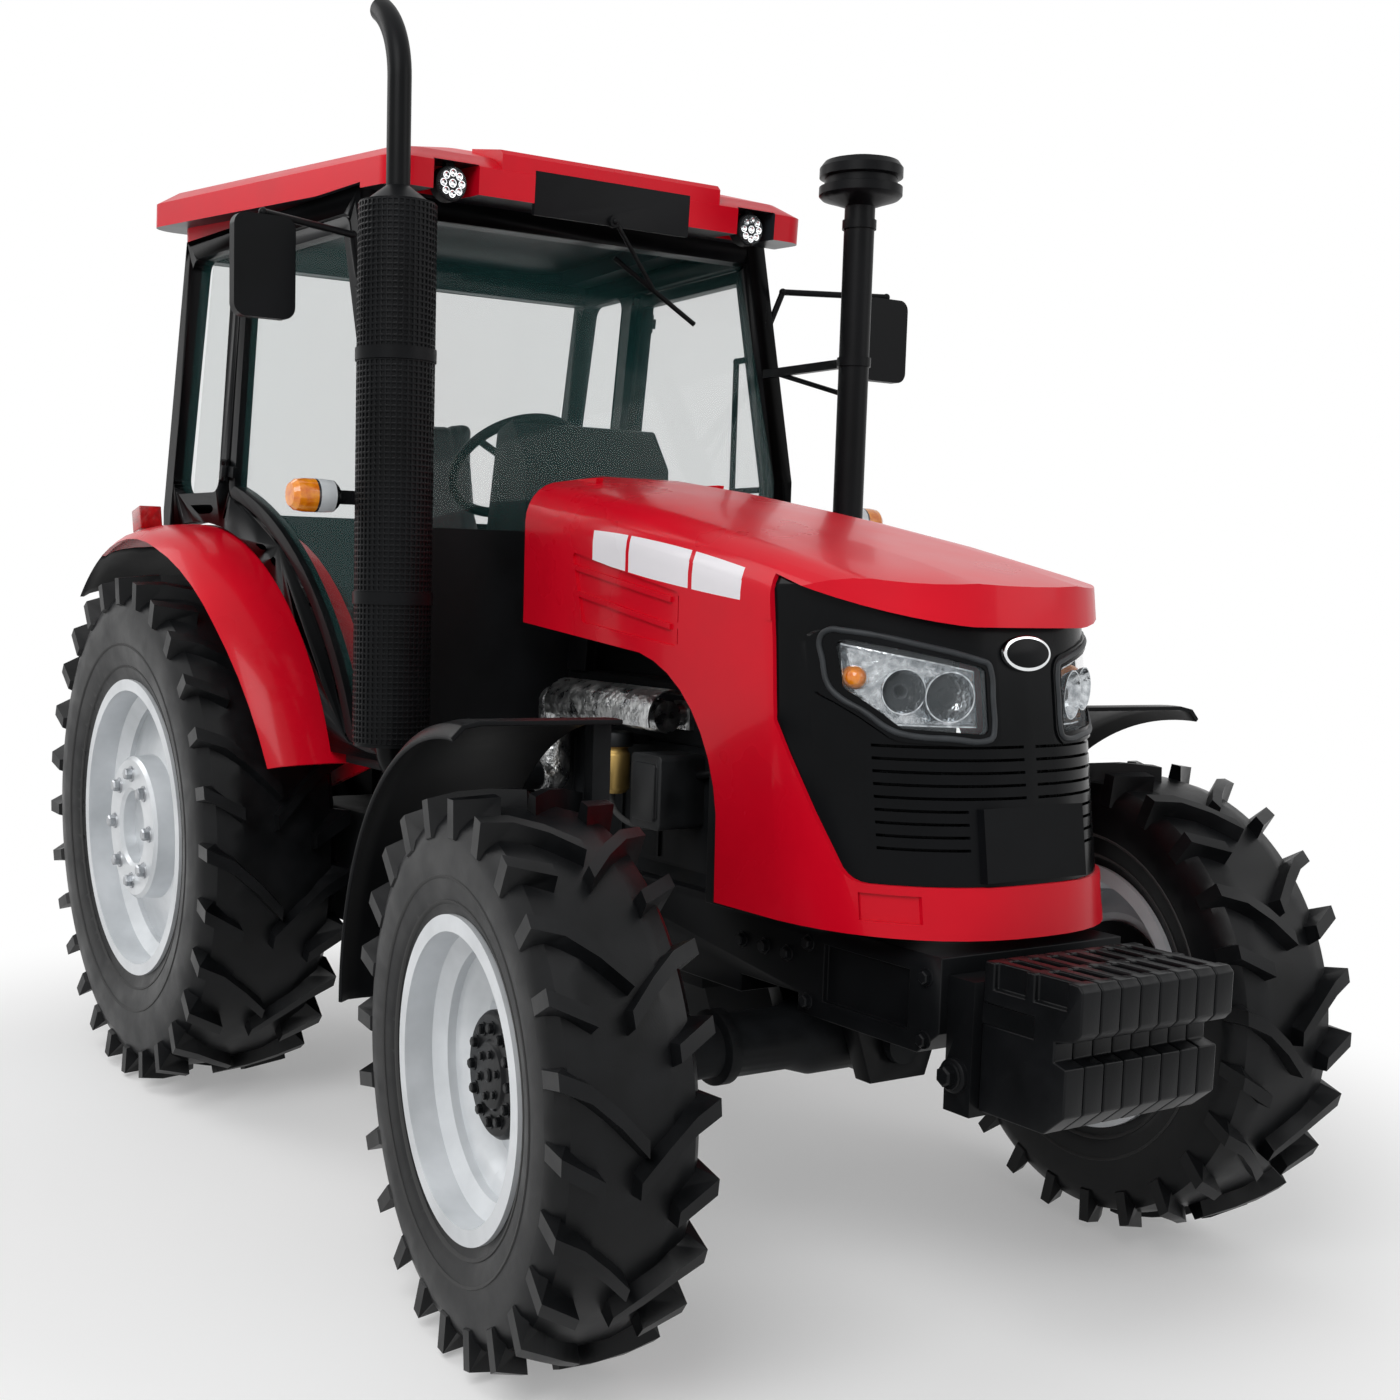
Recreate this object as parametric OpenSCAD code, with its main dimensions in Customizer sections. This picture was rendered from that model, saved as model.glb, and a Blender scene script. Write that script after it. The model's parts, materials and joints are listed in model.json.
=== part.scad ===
// Farm tractor with a cab, four-wheel drive and a rear three-point hitch.
// The parts are drawn from the rear axle: X forward, Y to the left, Z up from the ground.

/* [Wheels] */
// Distance between the front and rear axles
wheelbase = 2300; // [2200:10:2450]
// Distance between the middles of the front tyres
front_track = 1740; // [1680:10:1800]
// Distance between the middles of the rear tyres
rear_track = 1510; // [1480:10:1560]
// Front tyre diameter over the lugs
front_tyre_d = 1150; // [1100:10:1200]
// Front tyre width
front_tyre_w = 315; // [290:5:330]
// Front rim diameter at the bead
front_rim_d = 610; // [590:5:630]
// Rear tyre diameter over the lugs
rear_tyre_d = 1550; // [1500:10:1600]
// Rear tyre width
rear_tyre_w = 430; // [400:5:440]
// Rear rim diameter at the bead
rear_rim_d = 864; // [830:2:890]
// Height of the tyre lugs
lug_h = 36; // [25:1:45]
// Lugs on each side of a front tyre, long and short in turn
front_lugs = 24; // [20:2:28]
// Lugs on each side of a rear tyre, long and short in turn
rear_lugs = 28; // [24:2:32]
// Width of a front lug's face
front_lug_w = 32; // [26:1:38]
// Width of a rear lug's face
rear_lug_w = 36; // [30:1:44]
// Angle at which the front wheels stand, to the right
rest_steer = 7; // [0:1:15]

/* [Axles] */
// Distance from the front tyre's middle in to the kingpin
kingpin_inset = 170; // [150:5:185]
// Kingpin diameter
kingpin_d = 44; // [36:1:52]
// Front spindle diameter
spindle_d = 90; // [70:2:100]
// Rear axle shaft diameter
shaft_d = 90; // [70:2:110]
// Running clearance round shafts and pins
run_gap = 0.3; // [0.2:0.05:0.5]
// Front axle tube diameter
axle_tube_d = 140; // [120:2:150]
// Radius of the front axle's drive housing
drive_r = 110; // [95:1:120]

/* [Hood] */
// Half width of the hood at its widest
hood_hw = 385; // [360:5:400]
// Half width of the hood at its rear end
hood_rear_hw = 345; // [330:5:360]
// Height of the hood's rear top over the rear axle
hood_rear_rise = 1063; // [1030:1:1100]
// Height of the hood's nose over the rear axle
hood_nose_rise = 795; // [770:1:820]
// Distance from the front axle to the nose lip
nose_ahead = 490; // [470:5:520]
// How far the mask stands back under the nose lip
mask_set = 28; // [16:2:50]
// How far the nose leans forward from its lip to its foot
nose_lean = 100; // [60:5:130]
// Length over which the nose is rounded in plan
nose_bow = 440; // [400:10:480]
// Hood wall thickness
hood_wall = 12; // [8:1:16]
// Depth of the panels pressed into the hood
press_depth = 6; // [3:0.5:7]
// Angle at which the hood stands open
hood_open = 55; // [40:1:60]

/* [Mask and lamps] */
// Depth of the mask below the hood's skin
mask_depth = 8; // [5:0.5:12]
// Height of the slots in the mask's mesh
mesh_slot = 6; // [4:0.5:9]
// Distance between the rows of slots
mesh_pitch = 25; // [18:1:32]
// Rows of slots in the mask
mesh_rows = 9; // [6:1:10]
// Width of the frame round each headlamp
bezel_w = 26; // [18:1:34]

/* [Cab] */
// Half width of the cab at its front corners
cab_front_hw = 640; // [620:5:670]
// Half width of the cab at its rear corners
cab_rear_hw = 745; // [720:5:760]
// Height of the floor over the rear axle
floor_rise = 310; // [290:5:330]
// Height of the top of the cab frame over the rear axle
cab_rise = 1785; // [1740:5:1830]
// Thickness of the cab's side frames and doors
cab_wall = 60; // [45:1:75]
// Width of the cab posts
post_w = 66; // [55:1:75]
// Thickness of the glass
glass_t = 6; // [4:1:8]
// Gap round the doors
door_gap = 8; // [6:1:12]
// Radius of the corners of doors and windows
corner_r = 45; // [20:1:60]
// Height of the roof shell
roof_h = 150; // [130:5:180]
// Angle at which the roof rises to the rear
roof_tilt = 3.6; // [2:0.2:4.4]

/* [Fenders] */
// Gap between the rear tyre and the fender
fender_gap = 155; // [120:5:180]
// Gap between the rear tyre's inner side and the fender's inner wall
fender_side_gap = 40; // [25:1:60]
// How far the rear tyre stands out past the fender's edge
fender_reveal = 40; // [20:5:70]
// How much narrower the rear fender is at its front end
fender_taper = 102; // [60:2:130]
// Rear fender sheet thickness
fender_t = 14; // [8:1:18]
// Gap between the front tyre and its fender
front_fender_gap = 140; // [110:5:160]
// Front fender sheet thickness
front_fender_t = 10; // [6:1:14]

/* [Stacks] */
// Diameter of the exhaust's heat shield
shield_d = 184; // [160:2:200]
// Diameter of the exhaust tail pipe
tail_d = 58; // [48:1:70]
// Diameter of the air intake pipe
intake_d = 82; // [70:1:95]

/* [Front weights] */
// Number of weight plates
weight_count = 8; // [6:2:10]
// Distance between the weight plates
weight_pitch = 52; // [46:1:58]

/* [Hitch] */
// Length of the lower links
link_len = 880; // [820:10:940]
// Length of the lift arms
lift_len = 380; // [340:5:400]
// Half distance between the ball ends of the lower links
link_end_hw = 412; // [400:2:430]
// Bore of the lower link balls
lower_bore_d = 28.7; // [22:0.1:37]
// Bore of the top link balls
top_bore_d = 25.7; // [19:0.1:32]
// Drawbar pin hole diameter
drawbar_bore_d = 33; // [28:1:40]

/* [Hidden] */
$fn = 64;

paint_red = "#a81c1c";
frame_black = "#1d1d1f";
cast_grey = "#3a3b3d";
rim_silver = "#b9bcc0";
shield_silver = "#a9a9a6";
tyre_black = "#161616";
glass_green = [0.12, 0.2, 0.17, 0.55];
lamp_clear = "#e8ecf0";
lamp_amber = "#e07a10";
lamp_red = "#b01010";

// Small gap between pieces that rest on each other
seat_gap = 0.3;
// How far a cutting shape reaches past what it cuts
past = 1;

// Axle places and the middle of the whole length
ra_z = rear_tyre_d / 2;
fa_z = front_tyre_d / 2;
fa_x = wheelbase;
front_y = front_track / 2;
rear_y = rear_track / 2;
kp_y = front_y - kingpin_inset;
link_x = -120;
link_z = ra_z - 295;
link_eye_r = 42;
weights_x1 = fa_x + 844;
frame_x = (weights_x1 + link_x - link_len - link_eye_r) / 2;

// Driveline blocks
trans_hw = 190;
trans_z0 = ra_z - 255;
trans_z1 = ra_z + 185;
trans_x1 = 960;
rear_case_hw = 230;
rear_case_x0 = -230;
rear_case_x1 = 230;
engine_x0 = 1262;
engine_x1 = fa_x - 300;
engine_hw = 210;
block_hw = 185;
head_hw = 165;
engine_z0 = ra_z - 155;
sump_h = 124;
deck_z = ra_z + 405;
head_z = ra_z + 555;
fan_z = deck_z - 120;
rail_t = 40;
rail_z0 = ra_z - 115;
rail_z1 = ra_z + 85;
rail_hw = engine_hw + rail_t;
bolster_x0 = fa_x - 150;
bolster_x1 = fa_x + 530;
saddle_gap = 100;
saddle_t = 50;
saddle_drop = 85;
drive_gap = 15;
trunnion_r = 45;
ram_back = 205;
ram_up = -50;
ram_r = 38;
ram_rod_r = 15;
log_y = -250;
log_z = deck_z + 70;
log_r = 38;
pipe_r = 38;

// Cab levels
floor_z = ra_z + floor_rise;
floor_t = 25;
sill_z = ra_z + 1085;
screen_foot_z = sill_z - 170;
rear_wall_z = sill_z - 110;
cab_top_z = ra_z + cab_rise;
beam_z = cab_top_z - cab_wall;
cab_x0 = -250;
cab_x1 = 1200;
screen_top_x = 1010;
rear_top_x = -70;
arch_gap = 8;
cab_slope = atan((cab_rear_hw - cab_front_hw) / (cab_x1 - cab_x0));
fender_in_y = rear_y - rear_tyre_w / 2 - fender_side_gap;
fender_out_y = rear_y + rear_tyre_w / 2 - fender_reveal;
fender_r = rear_tyre_d / 2 + fender_gap;
fender_a0 = 17.5;
fender_a1 = 110;
flap_a1 = 128;
fender_step = 6;
door_clear_r = fender_r + 100;
platform_z = ra_z + 525;
platform_x1 = 420;
sill_x0 = 930;
dash_x0 = 1000;

// Door outline on the side of the cab
door_low_z = floor_z + 30;
door_top_z = cab_top_z - 60;
b_low = [225, sill_z - 70];
b_high = [330, door_top_z];
b_lean = atan((b_high.x - b_low.x) / (b_high.y - b_low.y));
hinge_out = 14;
hinge_r = 11;
hinge_pin_r = 6;
hinge_half = 30;
barrel_half = 16;
leaf_w = 46;
leaf_t = 10;
hinge_places = [70, norm(b_high - b_low) - 90];
door_t = cab_wall - 20;
door_rim = 36;
grab_x = 950;
grab_z = [ra_z + 1065, ra_z + 1450];

// Hood heights and stations
hood_x0 = 1360;
hood_z1 = ra_z + hood_rear_rise;
nose_z = ra_z + hood_nose_rise;
nose_x = fa_x + nose_ahead;
lip_z = nose_z - 76;
hood_low_z = ra_z + 110;
hood_foot_z = hood_low_z - 60;
lean_a = atan(nose_lean / (nose_z - hood_low_z));
nose_power = 2.4;
hood_pivot = [hood_x0 + 45, hood_z1 - 70];
hood_crown = 24;
hood_corner_r = 105;
hood_arch = 26;
pivot_r = 12;
mesh_z = ra_z + 280;

// Stacks
stack_x = 1370;
stack_y = -720;
intake_x = 1500;
intake_y = 598;
stack_foot_z = ra_z + 285;

// Hitch
arm_x = -60;
arm_z = link_z + 500;
link_in_y = rear_case_hw + 22;
arm_y = link_in_y + (link_end_hw - link_in_y) * lift_len / link_len;
rod_y0 = arm_y + 36;
hitch_pin_r = 11;
link_pin_r = 20;
cross_shaft_r = 32;
top_link_z = ra_z + 130;
top_link_x = -300;
top_link_len = 560;
top_pin_r = 12;
pull_z = ra_z - 335;
pull_t = 40;
pull_x = -600;
pto_r = 17.45;

// Shapes drawn along the axes
module in_frame() translate([-frame_x, 0, 0]) children();
module along_x(x0, x1) translate([x0, 0, 0]) rotate([90, 0, 90]) linear_extrude(x1 - x0) children();
module along_y(y0, y1) translate([0, y1, 0]) rotate([90, 0, 0]) linear_extrude(y1 - y0) children();
module rod_x(r, x0, x1) translate([x0, 0, 0]) rotate([0, 90, 0]) cylinder(h = x1 - x0, r = r);
module rod_y(r, y0, y1) translate([0, y0, 0]) rotate([-90, 0, 0]) cylinder(h = y1 - y0, r = r);
module block(x0, x1, y0, y1, z0, z1) translate([x0, y0, z0]) cube([x1 - x0, y1 - y0, z1 - z0]);
module spun_x() rotate([0, 90, 0]) rotate_extrude($fn = 96) children();
module spun_y() rotate([-90, 0, 0]) rotate_extrude($fn = 96) children();
module spun_z() rotate_extrude($fn = 96) children();
module swept_y(a0, a1)
  rotate([90, 0, 0]) rotate([0, 0, a0]) rotate_extrude(angle = a1 - a0, $fn = 128) mirror([0,
    1]) children();
module bar(a, b, r)
  translate(a) rotate([0, acos((b - a).z / norm(b - a)), atan2((b - a).y,
    (b - a).x)]) cylinder(h = norm(b - a), r = r);
module sided(side) mirror([0, side > 0 ? 0 : 1, 0]) children();
module both_sides() {
  children();
  mirror([0, 1, 0]) children();
}
module rounded(r) offset(r = r, $fn = 32) offset(delta = -r) children();
function arc(c, r, a0, a1, n) = [for (i = [0:n]) c + r * [cos(a0 + (a1 - a0) * i / n),
  sin(a0 + (a1 - a0) * i / n)]];

// Sheet through rings that each run out along one face and back along the other, point against point
module loft(rings) {
  n = len(rings[0]);
  m = len(rings);
  end = (m - 1) * n;
  polyhedron([for (ring = rings) each ring], concat(
    [for (j = [0:n / 2 - 2]) [n - 1 - j, n - 2 - j, j + 1, j]],
    [for (i = [0:m - 2], j = [0:n - 1]) let (a = i * n + j, b = i * n + (j + 1) % n) each [[a, b, b + n],
      [a, b + n, a + n]]],
    [for (j = [0:n / 2 - 2]) [end + j, end + j + 1, end + n - 2 - j, end + n - 1 - j]]), convexity = 6);
}

// Left side plane of the cab: children are drawn in X and Z, with Y outwards from the glass line
module on_cab_side(side)
  sided(side) translate([cab_x0, cab_rear_hw, 0]) rotate([0, 0, -cab_slope]) translate([-cab_x0, 0,
    0]) children();
function cab_hw(x) = cab_rear_hw - (x - cab_x0) * tan(cab_slope);
function screen_x(z) = z < sill_z ? cab_x1 : cab_x1 - (z - sill_z) * (cab_x1 - screen_top_x)
  / (cab_top_z - sill_z);
function post_front(z) = cab_x0 + (screen_x(z) - cab_x0) * cos(cab_slope);
function engine_at(share) = engine_x0 + (engine_x1 - engine_x0) * share;
function hood_at(share) = hood_x0 + (fa_x - hood_x0) * share;

// Driveline

module engine() {
  color(cast_grey) in_frame() {
    along_x(engine_x0, engine_x1) polygon(concat([for (s = [1, -1]) each s > 0
      ? [[engine_hw, engine_z0], [engine_hw, rail_z1], [block_hw, rail_z1 + 25], [block_hw, deck_z]]
      : [[-block_hw, deck_z], [-block_hw, rail_z1 + 25], [-engine_hw, rail_z1], [-engine_hw, engine_z0]]]));
    both_sides() for (share = [0.14, 0.46, 0.68])
      block(engine_at(share), engine_at(share) + 12, block_hw - 5, block_hw + 8, rail_z1 + 40, deck_z - 25);
    along_x(engine_at(0.04), engine_at(0.96)) rounded(12) polygon([[-head_hw, deck_z - 15], [head_hw,
      deck_z - 15],
      [head_hw, head_z], [-head_hw, head_z]]);
    along_x(engine_at(0.08), engine_at(0.92)) rounded(30) polygon([[-105, head_z - 30], [105, head_z - 30],
      [95, head_z + 80], [-95, head_z + 80]]);
    for (share = [0.28, 0.72]) translate([engine_at(share), 0, head_z + 70]) cylinder(h = 28, r = 26);
    along_x(engine_at(0.16), engine_at(0.89)) polygon([[-150, engine_z0], [150, engine_z0], [110,
      engine_z0 - sump_h],
      [-110, engine_z0 - sump_h]]);
    translate([0, 0, fan_z]) spun_x() polygon([[0, engine_x1], [60, engine_x1], [60, engine_x1 + 20], [48,
      engine_x1 + 30],
      [60, engine_x1 + 40], [60, engine_x1 + 60], [0, engine_x1 + 60]]);
    translate([0, 0, ra_z + 20]) spun_x() polygon([[0, engine_x1], [85, engine_x1], [85, engine_x1 + 18],
      [70, engine_x1 + 30],
      [85, engine_x1 + 42], [85, engine_x1 + 60], [0, engine_x1 + 60]]);
  }
}

module engine_fittings() {
  filter_x = engine_at(0.575);
  box_x0 = engine_at(0.76);
  box_x1 = engine_at(0.93);
  color(frame_black) in_frame() {
    translate([filter_x, -engine_hw - 60, ra_z + 275]) spun_z() polygon([[0, 0], [30, 0], [40, 12], [40,
      96], [34, 104],
      [34, 112], [46, 116], [46, 150], [0, 150]]);
    block(filter_x - 30, filter_x + 30, -engine_hw - 60, -block_hw, ra_z + 395, ra_z + 415);
    along_y(-engine_hw - 100, -block_hw) rounded(14) polygon([[box_x0, ra_z + 215], [box_x1, ra_z + 215],
      [box_x1, ra_z + 390], [box_x0, ra_z + 390]]);
    along_y(-engine_hw - 108, -engine_hw - 95) rounded(10) polygon([[box_x0 + 16, ra_z + 235],
      [box_x1 - 16, ra_z + 235],
      [box_x1 - 16, ra_z + 370], [box_x0 + 16, ra_z + 370]]);
    translate([0, block_hw + 80, ra_z + 300]) spun_x() polygon([[0, engine_at(0.62)], [48,
      engine_at(0.62)], [66, engine_at(0.65)],
      [66, engine_at(0.83)], [48, engine_at(0.86)], [30, engine_at(0.86)], [30, engine_at(0.93)], [0,
        engine_at(0.93)]]);
    block(engine_at(0.7), engine_at(0.78), block_hw, block_hw + 80, ra_z + 285, ra_z + 315);
    translate([0, block_hw + 58, ra_z + 230]) rod_x(48, engine_at(0.1), engine_at(0.42));
    block(engine_at(0.2), engine_at(0.3), block_hw, block_hw + 58, ra_z + 215, ra_z + 245);
  }
}

module exhaust_manifold() {
  shell_r = 62;
  shell_t = 4;
  centre = [log_y, log_z];
  color(shield_silver) in_frame() {
    translate([0, log_y, log_z]) rod_x(log_r, engine_at(0.15), engine_at(0.84));
    for (share = [0.24, 0.42, 0.6, 0.78]) translate([engine_at(share), 0, log_z]) {
      rod_y(26, log_y, -head_hw);
      block(-34, 34, -head_hw - 14, -head_hw, -34, 34);
    }
    along_x(engine_at(0.22), engine_at(0.86)) polygon(concat(arc(centre, shell_r + shell_t, 55, 200, 14),
      arc(centre, shell_r, 200, 55, 14)));
    for (share = [0.33, 0.69]) along_x(engine_at(share), engine_at(share) + 20) polygon(concat(
      arc(centre, shell_r + 1, 128, 142, 1), arc(centre, log_r - 4, 142, 128, 1)));
    translate([stack_x, log_y, stack_foot_z]) cylinder(h = log_z - stack_foot_z, r = pipe_r + 4);
    translate([stack_x, log_y, stack_foot_z]) sphere(r = pipe_r + 4);
    translate([0, log_y, log_z]) rod_x(log_r, stack_x, engine_at(0.2));
    translate([stack_x, log_y, log_z]) sphere(r = pipe_r + 4);
    translate([stack_x, 0, stack_foot_z]) rod_y(pipe_r + 4, log_y - 50, log_y);
  }
}

module radiator() {
  x0 = fa_x - 150;
  x1 = fa_x - 50;
  blades = 7;
  color(frame_black) in_frame() {
    difference() {
      block(x0, x1, -320, 320, rail_z1, nose_z - 90);
      block(x0 - past, x0 + 70, -280, 280, rail_z1 + 40, nose_z - 150);
      for (z = [rail_z1 + 50:24:nose_z - 170]) block(x1 - 12, x1 + past, -280, 280, z, z + 14);
    }
    translate([0, 0, fan_z]) {
      rod_x(40, fa_x - 240 + seat_gap, x0 + 70);
      rod_x(70, fa_x - 230, fa_x - 195);
      for (i = [0:blades - 1]) rotate([360 * i / blades, 0, 0]) translate([fa_x - 212, 0, 60]) rotate([0,
        0, 55])
        block(-3, 3, -30, 30, 0, 165);
    }
  }
}

module hood_support() {
  color(frame_black) in_frame() {
    both_sides() {
      along_y(150, 175) hull() {
        translate(hood_pivot) circle(r = 30);
        translate([engine_x0 + 40, head_z]) square([90, 10]);
      }
      translate([hood_pivot.x, 0, hood_pivot.y]) rod_y(pivot_r, 150, 215);
    }
    block(engine_x0 + 60, engine_x0 + 110, -150, 150, head_z + 100, head_z + 140);
  }
}

module front_frame() {
  notch_z = fa_z + drive_r + drive_gap;
  color(frame_black) in_frame() {
    both_sides() block(engine_x0, bolster_x0, engine_hw, rail_hw, rail_z0, rail_z1);
    difference() {
      union() {
        along_y(-rail_hw, rail_hw) polygon([[bolster_x0, rail_z0], [bolster_x1 - 60, rail_z0], [bolster_x1,
          rail_z0 + 50],
          [bolster_x1, rail_z1], [bolster_x0, rail_z1]]);
        for (x = [fa_x - saddle_gap - saddle_t, fa_x + saddle_gap]) along_x(x, x + saddle_t)
          polygon([[-140, rail_z0 + past], [140, rail_z0 + past], [80, fa_z - saddle_drop], [-80,
            fa_z - saddle_drop]]);
      }
      block(fa_x - saddle_gap, fa_x + saddle_gap, -rail_hw - past, rail_hw + past,
        fa_z - saddle_drop - past, notch_z);
      translate([0, 0, fa_z])
        rod_x(trunnion_r + run_gap, fa_x - saddle_gap - saddle_t - past,
          fa_x + saddle_gap + saddle_t + past);
      both_sides() block(fa_x + 180, bolster_x1 - 90, rail_hw - 14, rail_hw + past, rail_z0 + 40,
        rail_z1 - 40);
    }
  }
}

module front_axle() {
  tube_r = axle_tube_d / 2;
  half = [[tube_r + 18, 0], [tube_r + 18, 150], [tube_r, 210], [tube_r, kp_y - 330], [tube_r + 12,
    kp_y - 324],
    [tube_r + 12, kp_y - 296], [tube_r - 6, kp_y - 290], [tube_r - 6, kp_y - 40]];
  color(cast_grey) in_frame() translate([fa_x, 0, fa_z]) difference() {
    union() {
      both_sides() spun_y() polygon(concat([[0, 0]], half, [[0, kp_y - 40]]));
      rod_x(trunnion_r, -saddle_gap - saddle_t - 20, saddle_gap + saddle_t + 20);
      translate([0, 50, 0]) spun_x() polygon([[0, -saddle_gap + 5], [drive_r - 26, -saddle_gap + 5],
        [drive_r, -saddle_gap + 32],
        [drive_r, saddle_gap - 32], [drive_r - 26, saddle_gap - 5], [0, saddle_gap - 5]]);
      both_sides() translate([0, kp_y, 0]) spun_z() polygon([[0, -75], [52, -75], [60, -62], [60, 62], [52,
        75], [0, 75]]);
      translate([-ram_back, 0, ram_up]) spun_y() polygon([[0, -240], [ram_r, -240], [ram_r, -206],
        [ram_r - 6, -200],
        [ram_r - 6, 200], [ram_r, 206], [ram_r, 240], [0, 240]]);
      both_sides() block(-ram_back, -40, 170, 196, ram_up - 22, ram_up + 22);
    }
    both_sides() translate([0, kp_y, -80]) cylinder(h = 160, r = kingpin_d / 2 + run_gap);
    translate([-ram_back, 0, ram_up]) rod_y(ram_rod_r + run_gap, -241, 241);
  }
}

module transmission() {
  edge = 28;
  color(cast_grey) in_frame() {
    along_x(rear_case_x1, trans_x1) rounded(edge) polygon([[-trans_hw, trans_z0], [trans_hw, trans_z0],
      [trans_hw, trans_z1], [-trans_hw, trans_z1]]);
    block(rear_case_x0, rear_case_x1, -rear_case_hw, rear_case_hw, trans_z0 - 20, trans_z1 + 40);
    along_y(-160, 160) polygon([[rear_case_x0 + 40, trans_z1 + 40], [rear_case_x0 + 60, ra_z + 320],
      [rear_case_x1 - 90, ra_z + 320], [rear_case_x1 - 40, trans_z1 + 40]]);
    translate([arm_x, 0, arm_z]) rod_y(cross_shaft_r, -arm_y - 14, arm_y + 14);
    along_x(trans_x1, engine_x0) polygon([[-230, ra_z + 85], [-160, ra_z + 200], [160, ra_z + 200], [230,
      ra_z + 85],
      [230, engine_z0], [-230, engine_z0]]);
    for (x = [trans_x1 - 20, engine_x0 - 22]) along_x(x, x + 22) polygon([[-242, ra_z + 90], [-166,
      ra_z + 212],
      [166, ra_z + 212], [242, ra_z + 90], [242, engine_z0 - 10], [-242, engine_z0 - 10]]);
  }
}

module rear_axle() {
  flange = rear_y - 145;
  color(cast_grey) in_frame() translate([0, 0, ra_z]) both_sides() difference() {
    spun_y() polygon([[0, rear_case_hw], [150, rear_case_hw], [150, rear_case_hw + 30], [115,
      rear_case_hw + 50],
      [95, flange - 45], [120, flange - 25], [120, flange], [0, flange]]);
    rod_y(shaft_d / 2 + run_gap, flange - 160, rear_y);
  }
}

module fuel_tank() {
  out_y = rear_y - rear_tyre_w / 2 - 25;
  cap = [840, -out_y + 70];
  color(frame_black) in_frame() {
    along_y(-out_y, -trans_hw) hull() for (x = [390, 880], z = [ra_z - 155, ra_z + 65]) translate([x,
      z]) circle(r = 55);
    translate([cap.x, cap.y, ra_z + 110]) cylinder(h = 40, r = 38);
  }
}

module battery_box() {
  out_y = rear_y - rear_tyre_w / 2 - 40;
  color(frame_black) in_frame() {
    along_y(trans_hw, out_y - 14) hull() for (x = [480, 880], z = [ra_z - 140, ra_z + 60]) translate([x,
      z]) circle(r = 30);
    along_y(out_y - 14, out_y) hull() for (x = [500, 860], z = [ra_z - 120, ra_z + 40]) translate([x,
      z]) circle(r = 26);
  }
}

module steps() {
  x0 = 960;
  x1 = 1162;
  strap = 12;
  y0 = 480;
  y1 = 640;
  tread_t = 20;
  low_z = ra_z - 290;
  color(frame_black) in_frame() both_sides() {
    for (x = [x0, x1 - strap]) along_x(x, x + strap) polygon([[y0, floor_z - floor_t], [y0 + 60,
      floor_z - floor_t],
      [y1, ra_z], [y1, low_z], [y0, low_z], [y0, ra_z]]);
    for (z = [low_z, ra_z - 20]) difference() {
      block(x0 + strap, x1 - strap, y0, y1, z, z + tread_t);
      for (i = [0:3]) block(x0 + strap + 14 + 42 * i, x0 + strap + 36 + 42 * i, y0 + 30, y1 - 30, z - past,
        z + tread_t + past);
    }
  }
}

// Cab

module cab_floor() {
  in_y = fender_in_y - seat_gap;
  color(frame_black) in_frame() {
    block(platform_x1, cab_x1, -in_y, in_y, floor_z - floor_t, floor_z);
    both_sides() block(sill_x0, cab_x1, in_y, cab_front_hw, floor_z - floor_t, floor_z);
    for (box = [[cab_x0, platform_x1, platform_z - floor_t, platform_z],
      [platform_x1 - floor_t, platform_x1, floor_z - floor_t, platform_z],
      [cab_x0, cab_x0 + floor_t, platform_z - 100, rear_wall_z]])
      block(box[0], box[1], -in_y, in_y, box[2], box[3]);
    block(cab_x1 - 30, cab_x1, -cab_hw(cab_x1) + cab_wall + 1, cab_hw(cab_x1) - cab_wall - 1, floor_z,
      screen_foot_z);
  }
}

// Outline of the whole side of the cab, over the fender's arch
module cab_side_outline() {
  difference() {
    polygon([[cab_x0, ra_z], [cab_x0, rear_wall_z], [rear_top_x, cab_top_z], [screen_top_x, cab_top_z],
      [cab_x1, sill_z],
      [cab_x1, floor_z], [900, floor_z], [900, ra_z]]);
    translate([0, ra_z]) circle(r = fender_r + arch_gap, $fn = 180);
    translate([cab_x0 - 10, 0]) square([cab_x1 - cab_x0 + 20, floor_z + seat_gap]);
  }
}

// Door outline, grown or shrunk by an inset
module door_outline(inset) {
  offset(delta = -inset) rounded(corner_r) difference() {
    polygon([[b_low.x, b_low.y], [b_high.x, b_high.y], [screen_x(door_top_z) - post_w, door_top_z],
      [cab_x1 - post_w, sill_z], [cab_x1 - post_w, door_low_z], [b_low.x, door_low_z]]);
    translate([0, ra_z]) circle(r = door_clear_r, $fn = 120);
  }
}

module quarter_outline(inset) {
  offset(delta = -inset) rounded(corner_r) polygon([[cab_x0 + post_w, sill_z - 60],
    [rear_top_x + post_w - 16, door_top_z], [b_high.x - post_w, door_top_z], [b_low.x - post_w,
      sill_z - 60]]);
}

// Line of the door's hinges on the cab side
module on_hinge_line(place)
  translate([b_low.x + door_gap / 2, hinge_out, b_low.y]) rotate([0, b_lean, 0]) translate([0, 0,
    place]) children();

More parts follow.
